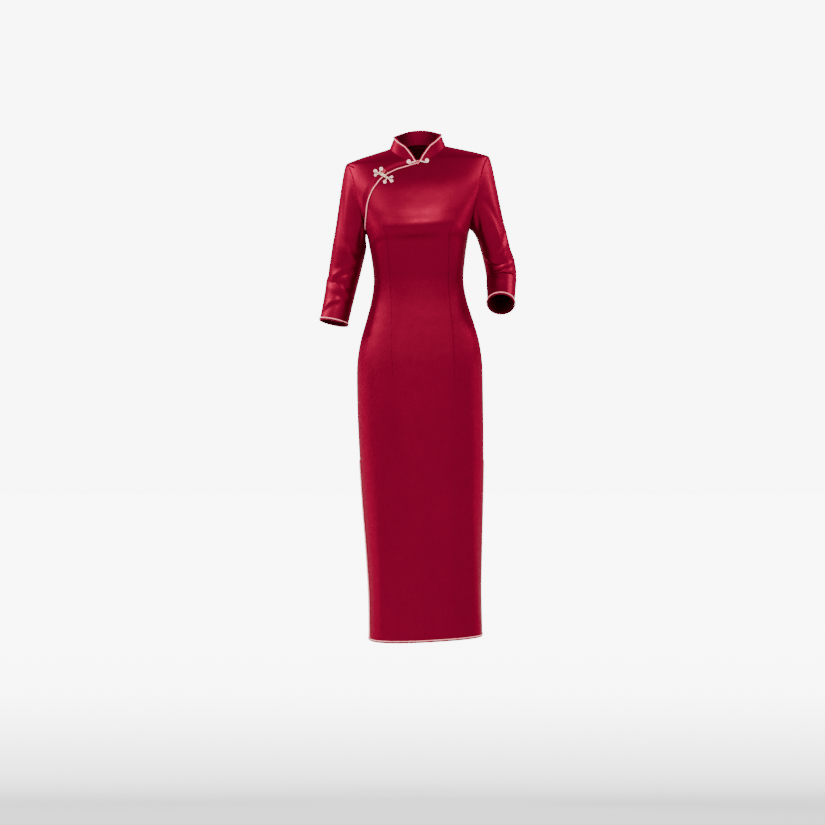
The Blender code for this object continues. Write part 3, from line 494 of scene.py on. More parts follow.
def armhole(side, start, end):
    """Armhole between two angles, 0 the shoulder, 90 the front, 180 the underarm: height follows
    the cosine, depth the sine, and x comes from the form's own curve."""
    angle = np.radians(np.linspace(start, end, ARMHOLE_FINE))
    reach = np.where(np.sin(angle) > 0, ARMHOLE_FRONT, ARMHOLE_BACK)
    z = (SHOULDER_Z + UNDERARM_Z) / 2 + (SHOULDER_Z - UNDERARM_Z) / 2 * np.cos(angle)
    half_width, middle, front, back, square = form(z)[:5]
    y = middle - reach * np.sin(angle)
    depth = np.where(y < middle, middle - front, back - middle)
    x = side * half_width * rest_of(np.abs(y - middle) / depth, square)
    return evenly(grid_of(x, y, z), ARM_ROWS)


def neckline(angles):
    """Neck seam by angle in degrees, 0 at the front: an oval seen from above, its height found by
    halving until each point is on the form."""
    angle = np.radians(np.asarray(angles, float))
    reach = np.where(np.cos(angle) > 0, NECK_FRONT, NECK_BACK)
    x = NECK_HALF_WIDTH * np.sin(angle)
    y = NECK_SIDE_Y - reach * np.cos(angle)
    low, high = (np.full(x.shape, height) for height in NECK_SEARCH)
    for _ in range(NECK_HALVINGS):
        z = (low + high) / 2
        outside = off_form(grid_of(x, y, z)) > 0
        high = np.where(outside, z, high)
        low = np.where(outside, low, z)
    return grid_of(x, y, (low + high) / 2)


def neck_angle(x):
    """Angle along the neck seam, in degrees from the front, of its point at x."""
    return math.degrees(math.asin(x / NECK_HALF_WIDTH))


def neck_run(start, end, steps):
    """Part of the neck seam in equal steps."""
    return evenly(neckline(np.linspace(start, end, SEAM_FINE)), steps)


def opening_edge(count=60):
    """Opening edge of the overlapping front, from the neck to the right underarm."""
    return to_form(through(to_form(OPENING), count))


def joined(*runs):
    """Lines that follow each other, each met by the next at a shared point."""
    return np.concatenate([runs[0]] + [run[1:] for run in runs[1:]])


def quarter(z, back):
    """Quarter ring at each height z, from a panel's middle to its side seam: x, y and distance
    along."""
    x, y = level_line(z[..., None], np.radians(np.linspace(0, 90, QUARTER_FINE)), back)
    along = np.cumsum(np.hypot(np.diff(x, axis=-1), np.diff(y, axis=-1)), axis=-1)
    return x, y, np.concatenate((np.zeros_like(x[..., :1]), along), axis=-1)


def read_off(wanted, known, *others):
    """Where wanted lies in the rising rows of known, and the others read off at that place."""
    below = np.sum(known < wanted[..., None], axis=-1, keepdims=True)
    i = np.clip(below - 1, 0, known.shape[-1] - 2)

    def at(rows, step):
        return np.take_along_axis(rows, i + step, -1)[..., 0]

    share = way(wanted, at(known, 0), at(known, 1))
    return [at(rows, 0) * (1 - share) + at(rows, 1) * share for rows in others]


def unrolled(points, back):
    """Flat place of points on the form: distance along their ring from its middle, and height."""
    x, _, z = np.moveaxis(points, -1, 0)
    across, _, along = quarter(z, back)
    far, = read_off(np.abs(x), across, along)
    return grid_of(np.sign(x) * far, z)


def rolled(places, back):
    """Points on the form at their flat places."""
    far, z = np.moveaxis(places, -1, 0)
    across, deep, along = quarter(z, back)
    x, y = read_off(np.abs(far), along, across, deep)
    return grid_of(np.sign(far) * x, y, z)


def patch(bottom, top, right, left, back=False, passes=SMOOTHING):
    """Grid on the form between four edges: blended from them in the flat (the two ruled sheets less
    the corners' one), each inner point then drawn half way to the middle of its neighbours, and
    rolled back."""
    low, high, start, end = (unrolled(edge, back) for edge in (bottom, top, right, left))
    u = np.linspace(0, 1, len(low))[None, :, None]
    v = np.linspace(0, 1, len(start))[:, None, None]
    corners = (1 - v) * ((1 - u) * low[0] + u * low[-1]) + v * ((1 - u) * high[0] + u * high[-1])
    flat = ((1 - v) * low[None] + v * high[None] + (1 - u) * start[:, None] + u * end[:, None]
            - corners)
    for _ in range(passes):
        around = flat[:-2, 1:-1] + flat[2:, 1:-1] + flat[1:-1, :-2] + flat[1:-1, 2:]
        flat[1:-1, 1:-1] = 0.5 * flat[1:-1, 1:-1] + 0.125 * around
    grid = rolled(flat, back)
    grid[0], grid[-1], grid[:, 0], grid[:, -1] = bottom, top, right, left
    return grid


def panel_grid(columns, top, right, left, back):
    """A whole panel: level rings from the hem to where the bodice fans out, then a patch below its
    top edge. Each side seam runs on into the edge over it."""
    shares = np.linspace(-1, 1, sum(columns) + 1)
    skirt = np.stack([ring(z, shares, back, slit_inset(z))
                      for z in np.linspace(HEM_Z, FAN_Z, SKIRT_ROWS)])
    right, left = (joined(side_seam(side, FAN_Z, UNDERARM_Z, SIDE_ROWS + 1), edge)
                   for side, edge in ((-1, right), (1, left)))
    return joined(skirt, patch(skirt[-1], top, right, left, back))


def pressed(place, folds):
    """Rise of soft folds over a flat place. With q the distance from a fold's line over its half
    width, s that along it over its half length, d the trough's depth and t how far off it is, one
    fold is rise * (exp(-q^2) - d exp(-(q - t)^2)) * exp(-s^4)."""
    across, up, length, width, lean, bend, rise = np.array(folds).T
    lean = np.radians(lean)
    right, over = place[..., 0, None] - across, place[..., 1, None] - up
    along = right * np.sin(lean) + over * np.cos(lean)
    q = (right * np.cos(lean) - over * np.sin(lean) - bend * along ** 2 / length) / width
    one = np.exp(-q ** 2) - TROUGH * np.exp(-(q - TROUGH_OFF) ** 2)
    return np.sum(rise * one * np.exp(-(along / length) ** 4), axis=-1)


def worn(points, height=0.0, back=False):
    """Points of the form as the cloth is worn: out along the normal by the panel's folds and a
    height, posed, and half a seam's air forwards or back."""
    rise = height + pressed(unrolled(points, back), BACK_FOLDS if back else FRONT_FOLDS)
    air = (0, GAP / 2 if back else -GAP / 2, 0)
    return posed(points + rise[..., None] * outward(points)) + air


def looped(grid, axis=0):
    """A grid with its first row or column once more at its end."""
    return np.concatenate((grid, np.take(grid, [0], axis)), axis)


def corners_of(grid):
    """The four corners of every face between a grid's neighbouring rows and columns."""
    return np.stack((grid[:-1, :-1], grid[:-1, 1:], grid[1:, 1:], grid[1:, :-1]), axis=2).reshape(
        -1, 4, *grid.shape[2:])


def add_piece(name, node, finish, points, faces, flat):
    """Makes a mesh piece with its flat places as UV map, in place of a plain node. It is turned
    outwards where its volume, the sum of (third - first) x (fourth - second) . first over its
    faces, is negative."""
    first, second, third, fourth = np.moveaxis(points[faces], 1, 0)
    if np.sum(np.cross(third - first, fourth - second) * first) < 0:
        faces, flat = faces[:, ::-1], flat[:, ::-1]
    mesh = bpy.data.meshes.new(name)
    mesh.from_pydata(points.tolist(), [], faces.tolist())
    flat = np.ascontiguousarray(flat, np.float32)
    mesh.uv_layers.new(name="cloth").uv.foreach_set("vector", flat.ravel())
    mesh.shade_smooth()
    mesh.materials.append(finish)
    piece = placed(name, mesh)
    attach(piece, "root")
    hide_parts(node)
    return piece


def shell(node, finish, outer, inner, flat, closed=False):
    """Cloth of one wall: faces over its outer and inner grid, joined round their edges. A closed
    shell joins its last column to its first, and flat has that column once more."""
    points = np.stack((outer, inner))
    number = np.arange(points[..., 0].size).reshape(points.shape[:3])
    face, lining = looped(number, 2) if closed else number
    pairs = [(face, flat), (lining[::-1], flat[::-1])]
    rims = [(lining[0], face[0], flat[0]), (face[-1], lining[-1], flat[-1])]
    if not closed:
        rims += [(face[:, 0], lining[:, 0], flat[:, 0]), (lining[:, -1], face[:, -1], flat[:, -1])]
    pairs += [(np.stack((one, other)), np.stack((place, place))) for one, other, place in rims]
    faces, places = (np.concatenate([corners_of(grid) for grid in grids]) for grids in zip(*pairs))
    return add_piece(node + "_satin", node, finish, points.reshape(-1, 3), faces, places)


def panel(node, finish, grid, back=False, sink=0.0):
    """A panel of cloth as it is worn, its face sunk below the form."""
    outer, inner = (worn(grid, height, back) for height in (-sink, -sink - CLOTH))
    return shell(node, finish, outer, inner, unrolled(grid, back))


def satin_finish(name, darts=()):
    """Wine-red satin. Threads and floats are sines in the cloth's own map. Each dart is a sewn line
    in it: a groove, and painted shade that darkens its colour exp(-q^2) strong, q being the widths
    off the line that its ramp gives."""
    finish, shader, place, across, along = new_finish(
        name, Specular_IOR_Level=0.0, Specular_Tint=EDGE_TINT)
    scales = SATIN_SCALES
    fine = noise(place, scales[1], 3.0)
    slub = noise(place, scales[3], 2.0, 0.6, SLUB_STRETCH)
    colour = mixed(slub * SLUB_SHARE, mixed(noise(place, scales[0], 3.0), *WINE_RED), SLUB_RED)
    threads = wave(across, THREAD) + wave(along + across * (FLOAT[1] / FLOAT[0]), FLOAT[1])
    crumple = (fine * SATIN_RISES[0] + noise(place, scales[2]) * SATIN_RISES[1]
               + slub * SATIN_RISES[2])
    rise = crumple + threads * THREAD_RISE
    for low, high, stops in darts:
        share = (along - low) / (high - low)
        q = (across - (ramp(share, stops) - 0.5) * DART_FIELD) / DART_WIDTH
        groove = q.maths("POWER", math.e, 0 - q * q) * ramp(share, DART_FADE)
        rise = rise - groove * DART_DEPTH
        # Painted shade: the colour darkens in the dart's groove.
        colour = mixed(groove * DART_PAINTED_SHADE_SHARE, colour, DART_PAINTED_SHADE_RED)
    facing = place.node("ShaderNodeLayerWeight", (), {0: 0.5}, 1)
    wear_finish(shader, rise, Base_Color=colour, Metallic=ramp(facing, SATIN_GLOSS),
                Roughness=SATIN_ROUGH[0] + fine * SATIN_ROUGH[1])
    return finish


satin = satin_finish("wine_satin")
front_cloth = satin_finish("wine_satin_front", FRONT_DARTS)

edge = opening_edge()[::-1]
split = int(len(edge) * (1 - OPENING_CORNER))
top = joined(evenly(edge[split:], FRONT_COLUMNS[0]),
             neck_run(neck_angle(OPENING[0, 0]), 90, FRONT_COLUMNS[1]),
             shoulder_seam(1, FRONT_COLUMNS[2])[::-1])
right, left = evenly(edge[:split + 1], ARM_ROWS), armhole(1, 180, 0)
front = panel("front", front_cloth, panel_grid(FRONT_COLUMNS, top, right, left, False))


# Under front. A small yoke of the same satin on the right shoulder. It fills the corner that the
# overlapping front leaves open, is sewn into the shoulder, collar and right armhole, and runs on
# out of sight under the overlap, which closes over it.
UNDERLAP = 0.018         # cloth hidden by the overlap
UNDER_PART = slice(8, -4, 8)     # which points of the opening edge its hidden edge follows
OVERLAP_SINK = 0.0026    # how far it lies below the overlap's face
OVERLAP_EASE = (-0.018, -0.004)      # distances inside the edge where it begins to sink and is down
UNDER_NECK_END = 0.012
UNDER_NECK_DROP = (0, -0.006, -0.018)      # from that end at the neck down to the hidden edge
UNDER_FOOT = -0.78
UNDER_MATCH = (0.68, 0.80)
UNDER_COLUMNS = (24, 54)       # shoulder, neck
UNDER_ROWS = 30
UNDER_FINE = 400


def sideways(line):
    """Unit way across a line on the form: the cross product of its run and the normal."""
    return unit(np.cross(np.gradient(line, axis=0), outward(line)))


def beside(line, distance):
    """A line on the form moved sideways by a distance."""
    return to_form(line + distance * sideways(line))


def overlap_depth(points):
    """How far below the form the yoke lies: eased from none a little outside the overlap's edge to
    its full depth under it."""
    flat = points.reshape(-1, 3)
    away = flat[:, None] - edge[None]
    nearest = np.argmin(np.linalg.norm(away, axis=2), axis=1)
    inside = np.sum(away[np.arange(len(flat)), nearest] * sideways(edge)[nearest], axis=1)
    return OVERLAP_SINK * eased(inside, *OVERLAP_EASE).reshape(points.shape[:-1])


top = joined(armhole(-1, 180, 0), shoulder_seam(-1, UNDER_COLUMNS[0]),
             neck_run(-90, neck_angle(UNDER_NECK_END), UNDER_COLUMNS[1]))
foot = ring(UNDERARM_Z - UNDERLAP, (-1, UNDER_FOOT))[1:]
hidden = np.concatenate((foot, beside(edge, UNDERLAP)[UNDER_PART], top[-1:] + UNDER_NECK_DROP))
hidden = through(to_form(hidden), UNDER_FINE)
marks = (0.0, *UNDER_MATCH, 1.0)
bottom = to_form(joined(*(evenly(hidden, steps, marks[part:part + 2])
                          for part, steps in enumerate((ARM_ROWS, *UNDER_COLUMNS)))))
right, left = (to_form(np.linspace(bottom[end], top[end], UNDER_ROWS + 1)) for end in (0, -1))
under_form = patch(bottom, top, right, left, passes=0)
front_under = panel("front_under", satin, under_form, sink=overlap_depth(under_form))


# Back. One length of the same satin, darted to the waist, with the slits at its sides. It is seamed
# to the fronts at the sides and shoulders, and to both sleeves and the collar.
BACK_COLUMNS = (24, 66, 24)    # shoulder, neck, shoulder
BACK_FOLDS = (
    (-0.118, -0.212, 0.034, 0.0075, 66, 0.10, 0.0016),
    (0.118, -0.208, 0.034, 0.0075, -64, -0.10, 0.0016),
    (-0.050, -0.288, 0.052, 0.0075, 80, 0.10, 0.0016),
    (0.046, -0.300, 0.056, 0.0080, -82, -0.08, 0.0016),
    (-0.058, -0.324, 0.048, 0.0070, 92, -0.10, 0.0014),
    (0.052, -0.336, 0.050, 0.0070, -96, 0.10, 0.0013),
    (0.000, -0.356, 0.058, 0.0085, 88, 0.06, 0.0013),
    (-0.108, -0.420, 0.060, 0.0120, 42, 0.15, 0.0014),
    (0.112, -0.424, 0.060, 0.0120, -40, -0.15, 0.0014),
    (0.000, -0.120, 0.090, 0.0160, 2, 0.02, 0.0012),
    (-0.076, -0.150, 0.060, 0.0120, -18, 0.05, 0.0012),
    (0.078, -0.146, 0.060, 0.0120, 18, -0.05, 0.0012),
    (-0.104, -0.860, 0.240, 0.0220, 2, 0.02, 0.0020),
    (-0.030, -0.760, 0.170, 0.0200, -2, 0.02, 0.0014),
    (0.036, -0.940, 0.220, 0.0240, 2, -0.02, 0.0018),
    (0.112, -0.900, 0.250, 0.0200, -3, 0.02, 0.0020),
)

top = joined(shoulder_seam(-1, BACK_COLUMNS[0]), neck_run(270, 90, BACK_COLUMNS[1]),
             shoulder_seam(1, BACK_COLUMNS[2])[::-1])
right, left = (armhole(side, 180, 360) for side in (-1, 1))
back = panel("back", satin, panel_grid(BACK_COLUMNS, top, right, left, True), True)


# Sleeves. Each is a straight tube of satin eased into its armhole, ending above the wrist in a
# bound and piped cuff. The left arm is bent, so its sleeve breaks into soft rolls at the elbow.
SLEEVE_GAP = 0.0004      # how far a sleeve's first ring stands off its armhole
CAP_HANDLE = 0.017       # how far a sleeve runs on from the armhole before it turns down
CAP_SHARES = (0.35, 0.40)      # the most of its cap that this takes, and what lies along the arm
CAP_ROWS = 40
ARM_ROW = 0.0028         # spacing of the rings down an arm
GIRTH = 0.00075          # cloth to one degree round a sleeve
PROBE = 0.001            # difference by which a direction is found

# x, y, z of each section's middle, half width across, half depth
ARM_RIGHT = np.array((
    (-0.1625, 0.006, -0.235, 0.0412, 0.0500),
    (-0.1722, 0.009, -0.285, 0.0392, 0.0470),
    (-0.1818, 0.008, -0.330, 0.0372, 0.0440),
    (-0.1912, 0.003, -0.375, 0.0357, 0.0410),
    (-0.2000, -0.003, -0.416, 0.0347, 0.0390),
))
ARM_LEFT = np.array((
    (0.1890, 0.012, -0.240, 0.0352, 0.0500),
    (0.1990, 0.020, -0.275, 0.0372, 0.0490),
    (0.2027, 0.018, -0.305, 0.0370, 0.0470),
    (0.2020, -0.004, -0.338, 0.0347, 0.0420),
    (0.2010, -0.031, -0.371, 0.0327, 0.0380),
))
UNDERARM_AIM = {"right": (0.20, -1.0), "left": (0.95, -0.55)}      # outwards, upwards
UNDERARM_SPLAY = 0.25    # how far it aims forwards in front, and backwards behind
UNDERARM_SPAN = (60, 140)      # degrees from the shoulder where that aim begins and is full
# Rolls pressed into a sleeve: metres down the arm, degrees round it, depth, half length, half
# spread.
ROLLS = {
    "left": ((0.036, 80, 0.0026, 0.0060, 55), (0.058, 110, 0.0042, 0.0055, 60),
             (0.075, 50, 0.0030, 0.0045, 45)),
    "right": ((0.060, 95, 0.0022, 0.0110, 40), (0.092, 60, 0.0026, 0.0100, 40),
              (0.128, 110, 0.0022, 0.0090, 45)),
}
ROLL_LEAN = 0.00015      # metres further down the arm, for each degree round from a roll's middle
FOLDS_BEGIN = 0.02       # metres below the armhole over which folds and rolls reach their height
# Folds of the sleeves, across from the front of the arm and down from its first section.
SLEEVE_FOLDS = {
    "left": (
        (0.030, -0.080, 0.060, 0.0080, 12, 0.10, -0.0022),
        (-0.030, -0.060, 0.050, 0.0080, -20, 0.10, -0.0020),
        (-0.040, -0.010, 0.036, 0.0060, 58, 0.15, 0.0024),
        (0.028, 0.006, 0.030, 0.0055, -62, 0.10, 0.0018),
        (0.090, -0.050, 0.060, 0.0090, 10, 0.10, -0.0020),
        (-0.095, -0.030, 0.050, 0.0090, 24, 0.10, -0.0020),
    ),
    "right": (
        (-0.036, -0.050, 0.060, 0.0090, 16, 0.10, -0.0022),
        (0.034, -0.060, 0.060, 0.0080, -14, 0.10, -0.0020),
        (0.014, 0.020, 0.036, 0.0075, 58, 0.12, 0.0022),
        (-0.014, 0.062, 0.034, 0.0070, -52, 0.12, 0.0020),
        (0.020, 0.112, 0.034, 0.0070, 62, 0.12, 0.0020),
        (-0.022, 0.142, 0.030, 0.0070, -58, 0.12, 0.0016),
        (0.096, -0.010, 0.070, 0.0100, 12, 0.10, -0.0022),
        (-0.098, 0.070, 0.050, 0.0090, 50, 0.10, 0.0020),
    ),
}


def carried(points, directions):
    """Directions on the upright form as they point once it is posed, by a small difference."""
    return unit((posed(points + PROBE * directions) - posed(points)) / PROBE)


def ahead_of(points, axis=0, closed=False):
    """How a grid runs on along an axis, from the points on either side of each."""
    if closed:
        return np.roll(points, -1, axis) - np.roll(points, 1, axis)
    return np.gradient(points, axis=axis)


def arm_ring(arm, along, side, angles):
    """Oval section of an arm at a distance down it: middle + width cos a across + depth sin a
    forwards. Also the arm's direction there."""
    at = lengths(arm[:, :3])
    middle, ahead = (np.array([smooth(at, arm[:, axis], along + step) for axis in range(3)])
                     for step in (0.0, PROBE))
    ahead = unit(ahead - middle if along + PROBE < at[-1] else arm[-1, :3] - arm[-2, :3])
    across = unit(np.array((side, 0, 0)) - side * ahead[0] * ahead)
    forward = np.cross(across, ahead) * side
    forward *= -np.sign(forward[1])
    half_width, half_depth = (smooth(at, arm[:, axis], along) for axis in (3, 4))
    turn = np.radians(angles)[:, None]
    return middle + half_width * np.cos(turn) * across + half_depth * np.sin(turn) * forward, ahead


def inner_face(grid, thickness, closed=False):
    """A grid moved inwards by a thickness along the cross product of its rows and columns."""
    normal = unit(np.cross(ahead_of(grid, 1, closed), ahead_of(grid)))
    away = grid - grid.mean(axis=1, keepdims=True)
    return grid - thickness * np.sign(np.sum(normal * away)) * normal


def sleeve_walls(hand):
    """Outer and inner face of a sleeve, and its flat places: a cap of cubic curves from the armhole
    to the arm's first section, then rings to the cuff, with the rolls and folds pressed towards the
    middle."""
    side, arm = (1, ARM_LEFT) if hand == "left" else (-1, ARM_RIGHT)
    seam = np.concatenate([armhole(side, start, start + 180)[:-1] for start in (0, 180)])
    angles = np.arange(len(seam)) * 360 / len(seam)
    normal = outward(seam)
    leave = np.cross(normal, ahead_of(seam, closed=True))
    leave = unit(leave * np.sign(leave[:, :1] * side))
    low = eased(180 - np.abs(180 - angles), *UNDERARM_SPAN)[:, None]
    outwards, upwards = UNDERARM_AIM[hand]
    down = unit(grid_of(side * outwards, -UNDERARM_SPLAY * np.sin(np.radians(angles)), upwards))
    start = posed(seam + SLEEVE_GAP * (normal + leave))
    leave = carried(seam, leave) * (1 - low) + down * low
    end, ahead = arm_ring(arm, 0.0, side, angles)
    span = np.linalg.norm(end - start, axis=1, keepdims=True)
    first = start + leave * np.minimum(CAP_HANDLE, CAP_SHARES[0] * span)
    second = end - ahead * CAP_SHARES[1] * span
    t = np.linspace(0, 1, CAP_ROWS)[:, None, None]
    cap = ((1 - t) ** 3 * start + 3 * t * (1 - t) ** 2 * first + 3 * t * t * (1 - t) * second
           + t ** 3 * end)
    total = lengths(arm[:, :3])[-1]
    down_arm = np.linspace(0, total, round(total / ARM_ROW) + 1)[1:]
    outer = np.concatenate((cap, [arm_ring(arm, along, side, angles)[0] for along in down_arm]))
    reach = np.concatenate(((t[..., 0] - 1) * span[:, 0], down_arm[:, None] + 0 * angles))
    press = -pressed(grid_of(((angles + 90) % 360 - 180) * GIRTH, reach), SLEEVE_FOLDS[hand])
    for at, degrees, depth, half_length, spread in ROLLS[hand]:
        off = (angles - degrees + 180) % 360 - 180
        press = press + depth * np.exp(-((reach - at - ROLL_LEAN * off) / half_length) ** 2
                                       - (off / spread) ** 2) * (reach > 0)
    press *= np.clip((reach - reach[0]) / FOLDS_BEGIN, 0, 1)
    outer = outer + press[..., None] * unit(outer.mean(axis=1, keepdims=True) - outer)
    inner = inner_face(outer, CLOTH, closed=True)
    inner[0] = (start - CLOTH * carried(seam, normal)) * (1 - low) + inner[0] * low
    return outer, inner, grid_of(np.append(angles, 360.0) * GIRTH, looped(reach, 1))


# Cuff edge. A narrow strip of the dress satin binds it, and beside the strip runs a piping: a bias
# strip of pale pink satin over a cord, caught into the seam.
BINDING = 0.0030
BINDING_WALL = 0.0009
PIPING_INSET = 0.0047    # from an edge to the middle of its piping
PIPING_RADIUS = 0.0011
TRIM_LIFT = 0.0004
TRIM_HEIGHT = TRIM_LIFT + 2 * PIPING_RADIUS + GAP
ROUND = np.radians(np.arange(16) * 22.5)
ROUND_PROFILE = grid_of(np.cos(ROUND), np.sin(ROUND))
STRIP_PROFILE = np.array((0.50, 0.35)) + (0.50, 0.65) * ROUND_PROFILE
CAP_STATIONS = np.radians((80, 60, 40, 20))
WEAVE_RISE = 0.00002
# Weave of a cord: sheen tint, slant, pitch, scale of its drift, and what that adds to roughness and
# rise.
PIPING_WEAVE = ((1.0, 0.8, 0.8, 1.0), 1.0, 0.0009, 90.0, 0.16, 0.00025)


def tube(name, node, finish, points, flat, closed=False):
    """A piece made of rings. A fan of faces, with no flat place, closes each end, unless the last
    ring joins the first."""
    number = looped(np.arange(points[..., 0].size).reshape(points.shape[:2]), 1)
    faces, places = corners_of(looped(number) if closed else number), corners_of(flat)
    fan = np.arange(1, points.shape[1] - 2, 2)
    for ends, corners in () if closed else ((number[0], (0, fan, fan + 1, fan + 2)),
                                            (number[-1], (0, fan + 2, fan + 1, fan))):
        cap = np.stack([ends[np.broadcast_to(corner, fan.shape)] for corner in corners], axis=-1)
        faces = np.concatenate((faces, cap))
        places = np.concatenate((places, np.zeros((*cap.shape, 2))))
    return add_piece(name, node, finish, points.reshape(-1, 3), faces, places)


def band(name, node, finish, path, across, up, profile, closed=False):
    """A profile carried along a path: each section is path + u across + v up. An open band's ends
    are domed: past each end the section shrinks by the cosine as it moves on by the sine."""
    scale = np.ones(len(path))
    if not closed:
        tangent = unit(np.gradient(path, axis=0))
        rise = np.ptp(profile[:, 1]) / 2 * np.linalg.norm(up[0])
        far, shrink = np.sin(CAP_STATIONS)[:, None] * rise, np.cos(CAP_STATIONS)
        path = np.concatenate((path[:1] - far * tangent[:1], path,
                               path[-1:] + far[::-1] * tangent[-1:]))
        scale = np.concatenate((shrink, scale, shrink[::-1]))
        across, up = (np.pad(way, ((len(far), len(far)), (0, 0)), "edge") for way in (across, up))
    middle = profile.mean(axis=0)
    sections = middle + scale[:, None, None] * (profile - middle)
    points = path[:, None] + sections[..., :1] * across[:, None] + sections[..., 1:] * up[:, None]
    girth = lengths(looped(points[len(points) // 2]))
    run = lengths(looped(path) if closed else path)
    return tube(name, node, finish, points, grid_of(girth, run[:, None]), closed)


def edging(name, line_at, closed=False):
    """Bound edge and its piping: line_at gives the line at a distance from the edge and a
    height."""
    low, far = (line_at(distance, TRIM_LIFT) for distance in (GAP, BINDING))
    high = line_at(GAP, TRIM_LIFT + BINDING_WALL)
    strip = band(name + "_strip", name + "_binding", satin, low, far - low, high - low,
                 STRIP_PROFILE, closed)
    path, crest = (line_at(PIPING_INSET, TRIM_LIFT + share * PIPING_RADIUS) for share in (1, 2))
    side = PIPING_RADIUS * unit(np.cross(np.gradient(path, axis=0), crest - path))
    cord = band(name + "_cord", name + "_piping", piping, path, side, crest - path,
                ROUND_PROFILE, closed)
    return [strip, cord]


def over_cuff(outer, inner, distance, height):
    """Ring at a distance above a sleeve's end, raised off its outer face."""
    wall = outer[-1] - inner[-1]
    return outer[-1] + distance * unit(outer[-2] - outer[-1]) + height * wall / CLOTH


def cord_finish(name, dark, light, roughness, weave):
    """Finish of a satin cord: a slanted weave, with its colour drifting between two."""
    tint, slant, pitch, grain, spread, crumple = weave
    finish, shader, place, across, along = new_finish(
        name, Sheen_Weight=0.3, Sheen_Roughness=0.4, Sheen_Tint=tint)
    drift = noise(place, grain, 3.0)
    wear_finish(shader, wave(across * slant + along, pitch) * WEAVE_RISE + drift * crumple,
                Base_Color=mixed(drift, dark, light), Roughness=roughness + drift * spread)
    return finish


piping = cord_finish("pink_piping", (0.92, 0.16, 0.21), (0.96, 0.34, 0.36), 0.36, PIPING_WEAVE)

sleeves, cuffs = {}, {}
for hand in ("left", "right"):
    outer, inner, flat = sleeve_walls(hand)
    sleeves[hand] = shell("sleeve_" + hand, satin, outer, inner, flat, closed=True)
    cuffs[hand] = edging("cuff_" + hand,
                         lambda distance, height: over_cuff(outer, inner, distance, height),
                         closed=True)


# Collar. A stiff standing band of satin on interfacing, sewn to the neck seam. Its front ends round
# down to the knot, and its whole rim is bound and piped like the cuffs.
COLLAR_CLOTH = 0.0018
COLLAR_TOP = (0.0552, 0.0510, 0.0470)      # half width, reach forwards, reach backwards
COLLAR_TOP_Y = 0.001
COLLAR_TOP_Z = (0.002, 0.036, 0.049)       # front, side, back
COLLAR_ROUND = 0.036     # length over which a front end rounds down
COLLAR_ROUND_POWER = 1.5
COLLAR_END = 0.0030      # half the space between the two front ends
COLLAR_LOW = 0.004
COLLAR_LIFT = 0.0011
COLLAR_TUCK = 0.0035     # turned into the neck seam
COLLAR_COLUMNS = 240
COLLAR_CROWDING = 0.75   # power by which its columns crowd towards the ends
COLLAR_ROWS = 16


def collar_line():
    """Foot and finished edge of the collar, from the left front end round the back to the right
    one: both ovals seen from above, the rim brought down at the ends by (1 - (1 - s)^p)^(1 / p)."""
    first = neck_angle(COLLAR_END)
    spread = np.linspace(-1, 1, COLLAR_COLUMNS + 1)
    spread = 0.5 + 0.5 * np.sign(spread) * np.abs(spread) ** COLLAR_CROWDING
    angles = first + (360 - 2 * first) * spread
    foot = neckline(angles) + (0, 0, COLLAR_LIFT)
    turn = np.radians(angles)
    half_width, ahead, behind = COLLAR_TOP
    low, middle, high = COLLAR_TOP_Z
    in_front = np.cos(turn) > 0
    height = np.where(in_front, low + (middle - low) * np.sin(turn) ** 2,
                      middle + (high - middle) * np.cos(turn) ** 2)
    top = grid_of(half_width * np.sin(turn),
                  COLLAR_TOP_Y - np.where(in_front, ahead, behind) * np.cos(turn), height)
    from_end = np.minimum(lengths(foot), lengths(foot[::-1])[::-1]) / COLLAR_ROUND
    rise = rest_of(np.clip(1 - from_end, 0, 1), COLLAR_ROUND_POWER)
    rise = np.maximum(rise, COLLAR_LOW / np.linalg.norm(top - foot, axis=1))
    return foot, foot + rise[:, None] * (top - foot)


foot, rim = collar_line()
share = np.linspace(0, 1, COLLAR_ROWS + 1)[:, None]
tucked = foot - (0, 0, COLLAR_TUCK)
collar_out = posed(tucked + share[..., None] * (rim - tucked))
collar_flat = grid_of(lengths(foot), share * np.linalg.norm(rim - foot, axis=1))
collar = shell("collar", satin, collar_out, inner_face(collar_out, COLLAR_CLOTH), collar_flat)
rim_out = unit(np.cross(np.gradient(foot, axis=0), rim - foot))
rim_in = unit(np.cross(np.gradient(rim, axis=0), rim_out))
collar_trims = edging(
    "collar", lambda distance, height: posed(rim + distance * rim_in + height * rim_out))


# Opening, slit and hem edges. The slanted opening is bound and piped from the neck to the right
# underarm. One binding and one piping run down each panel's slit, along its hem and up the other
# slit.
OPENING_STEPS = 90
OPENING_LOW = 0.87       # share of the opening edge, from the neck, that its trims run down
OPENING_FINE = 240
HEM_ROWS = 90


def hem_path(distance, back):
    """Line at a distance inside a panel's slit edges and hem: down the right slit, along, up the
    left."""
    heights = np.linspace(SLIT_Z, HEM_Z + distance, HEM_ROWS)
    shares = np.linspace(-1, 1, sum(BACK_COLUMNS if back else FRONT_COLUMNS) + 1)
    rings = np.stack([ring(z, (-1, 1), back, slit_inset(z) + distance) for z in heights])
    hem = ring(HEM_Z + distance, shares, back, SLIT_OPEN + distance)
    return joined(rings[:, 0], hem, rings[::-1, 1])


overlap = evenly(opening_edge(OPENING_FINE), OPENING_STEPS, (0.0, OPENING_LOW))[::-1]
opening_trims = edging("opening", lambda distance, height: worn(beside(overlap, distance), height))
for name, behind in (("front_hem", False), ("back_hem", True)):
    edging(
        name, lambda distance, height: worn(hem_path(distance, behind), height, behind))


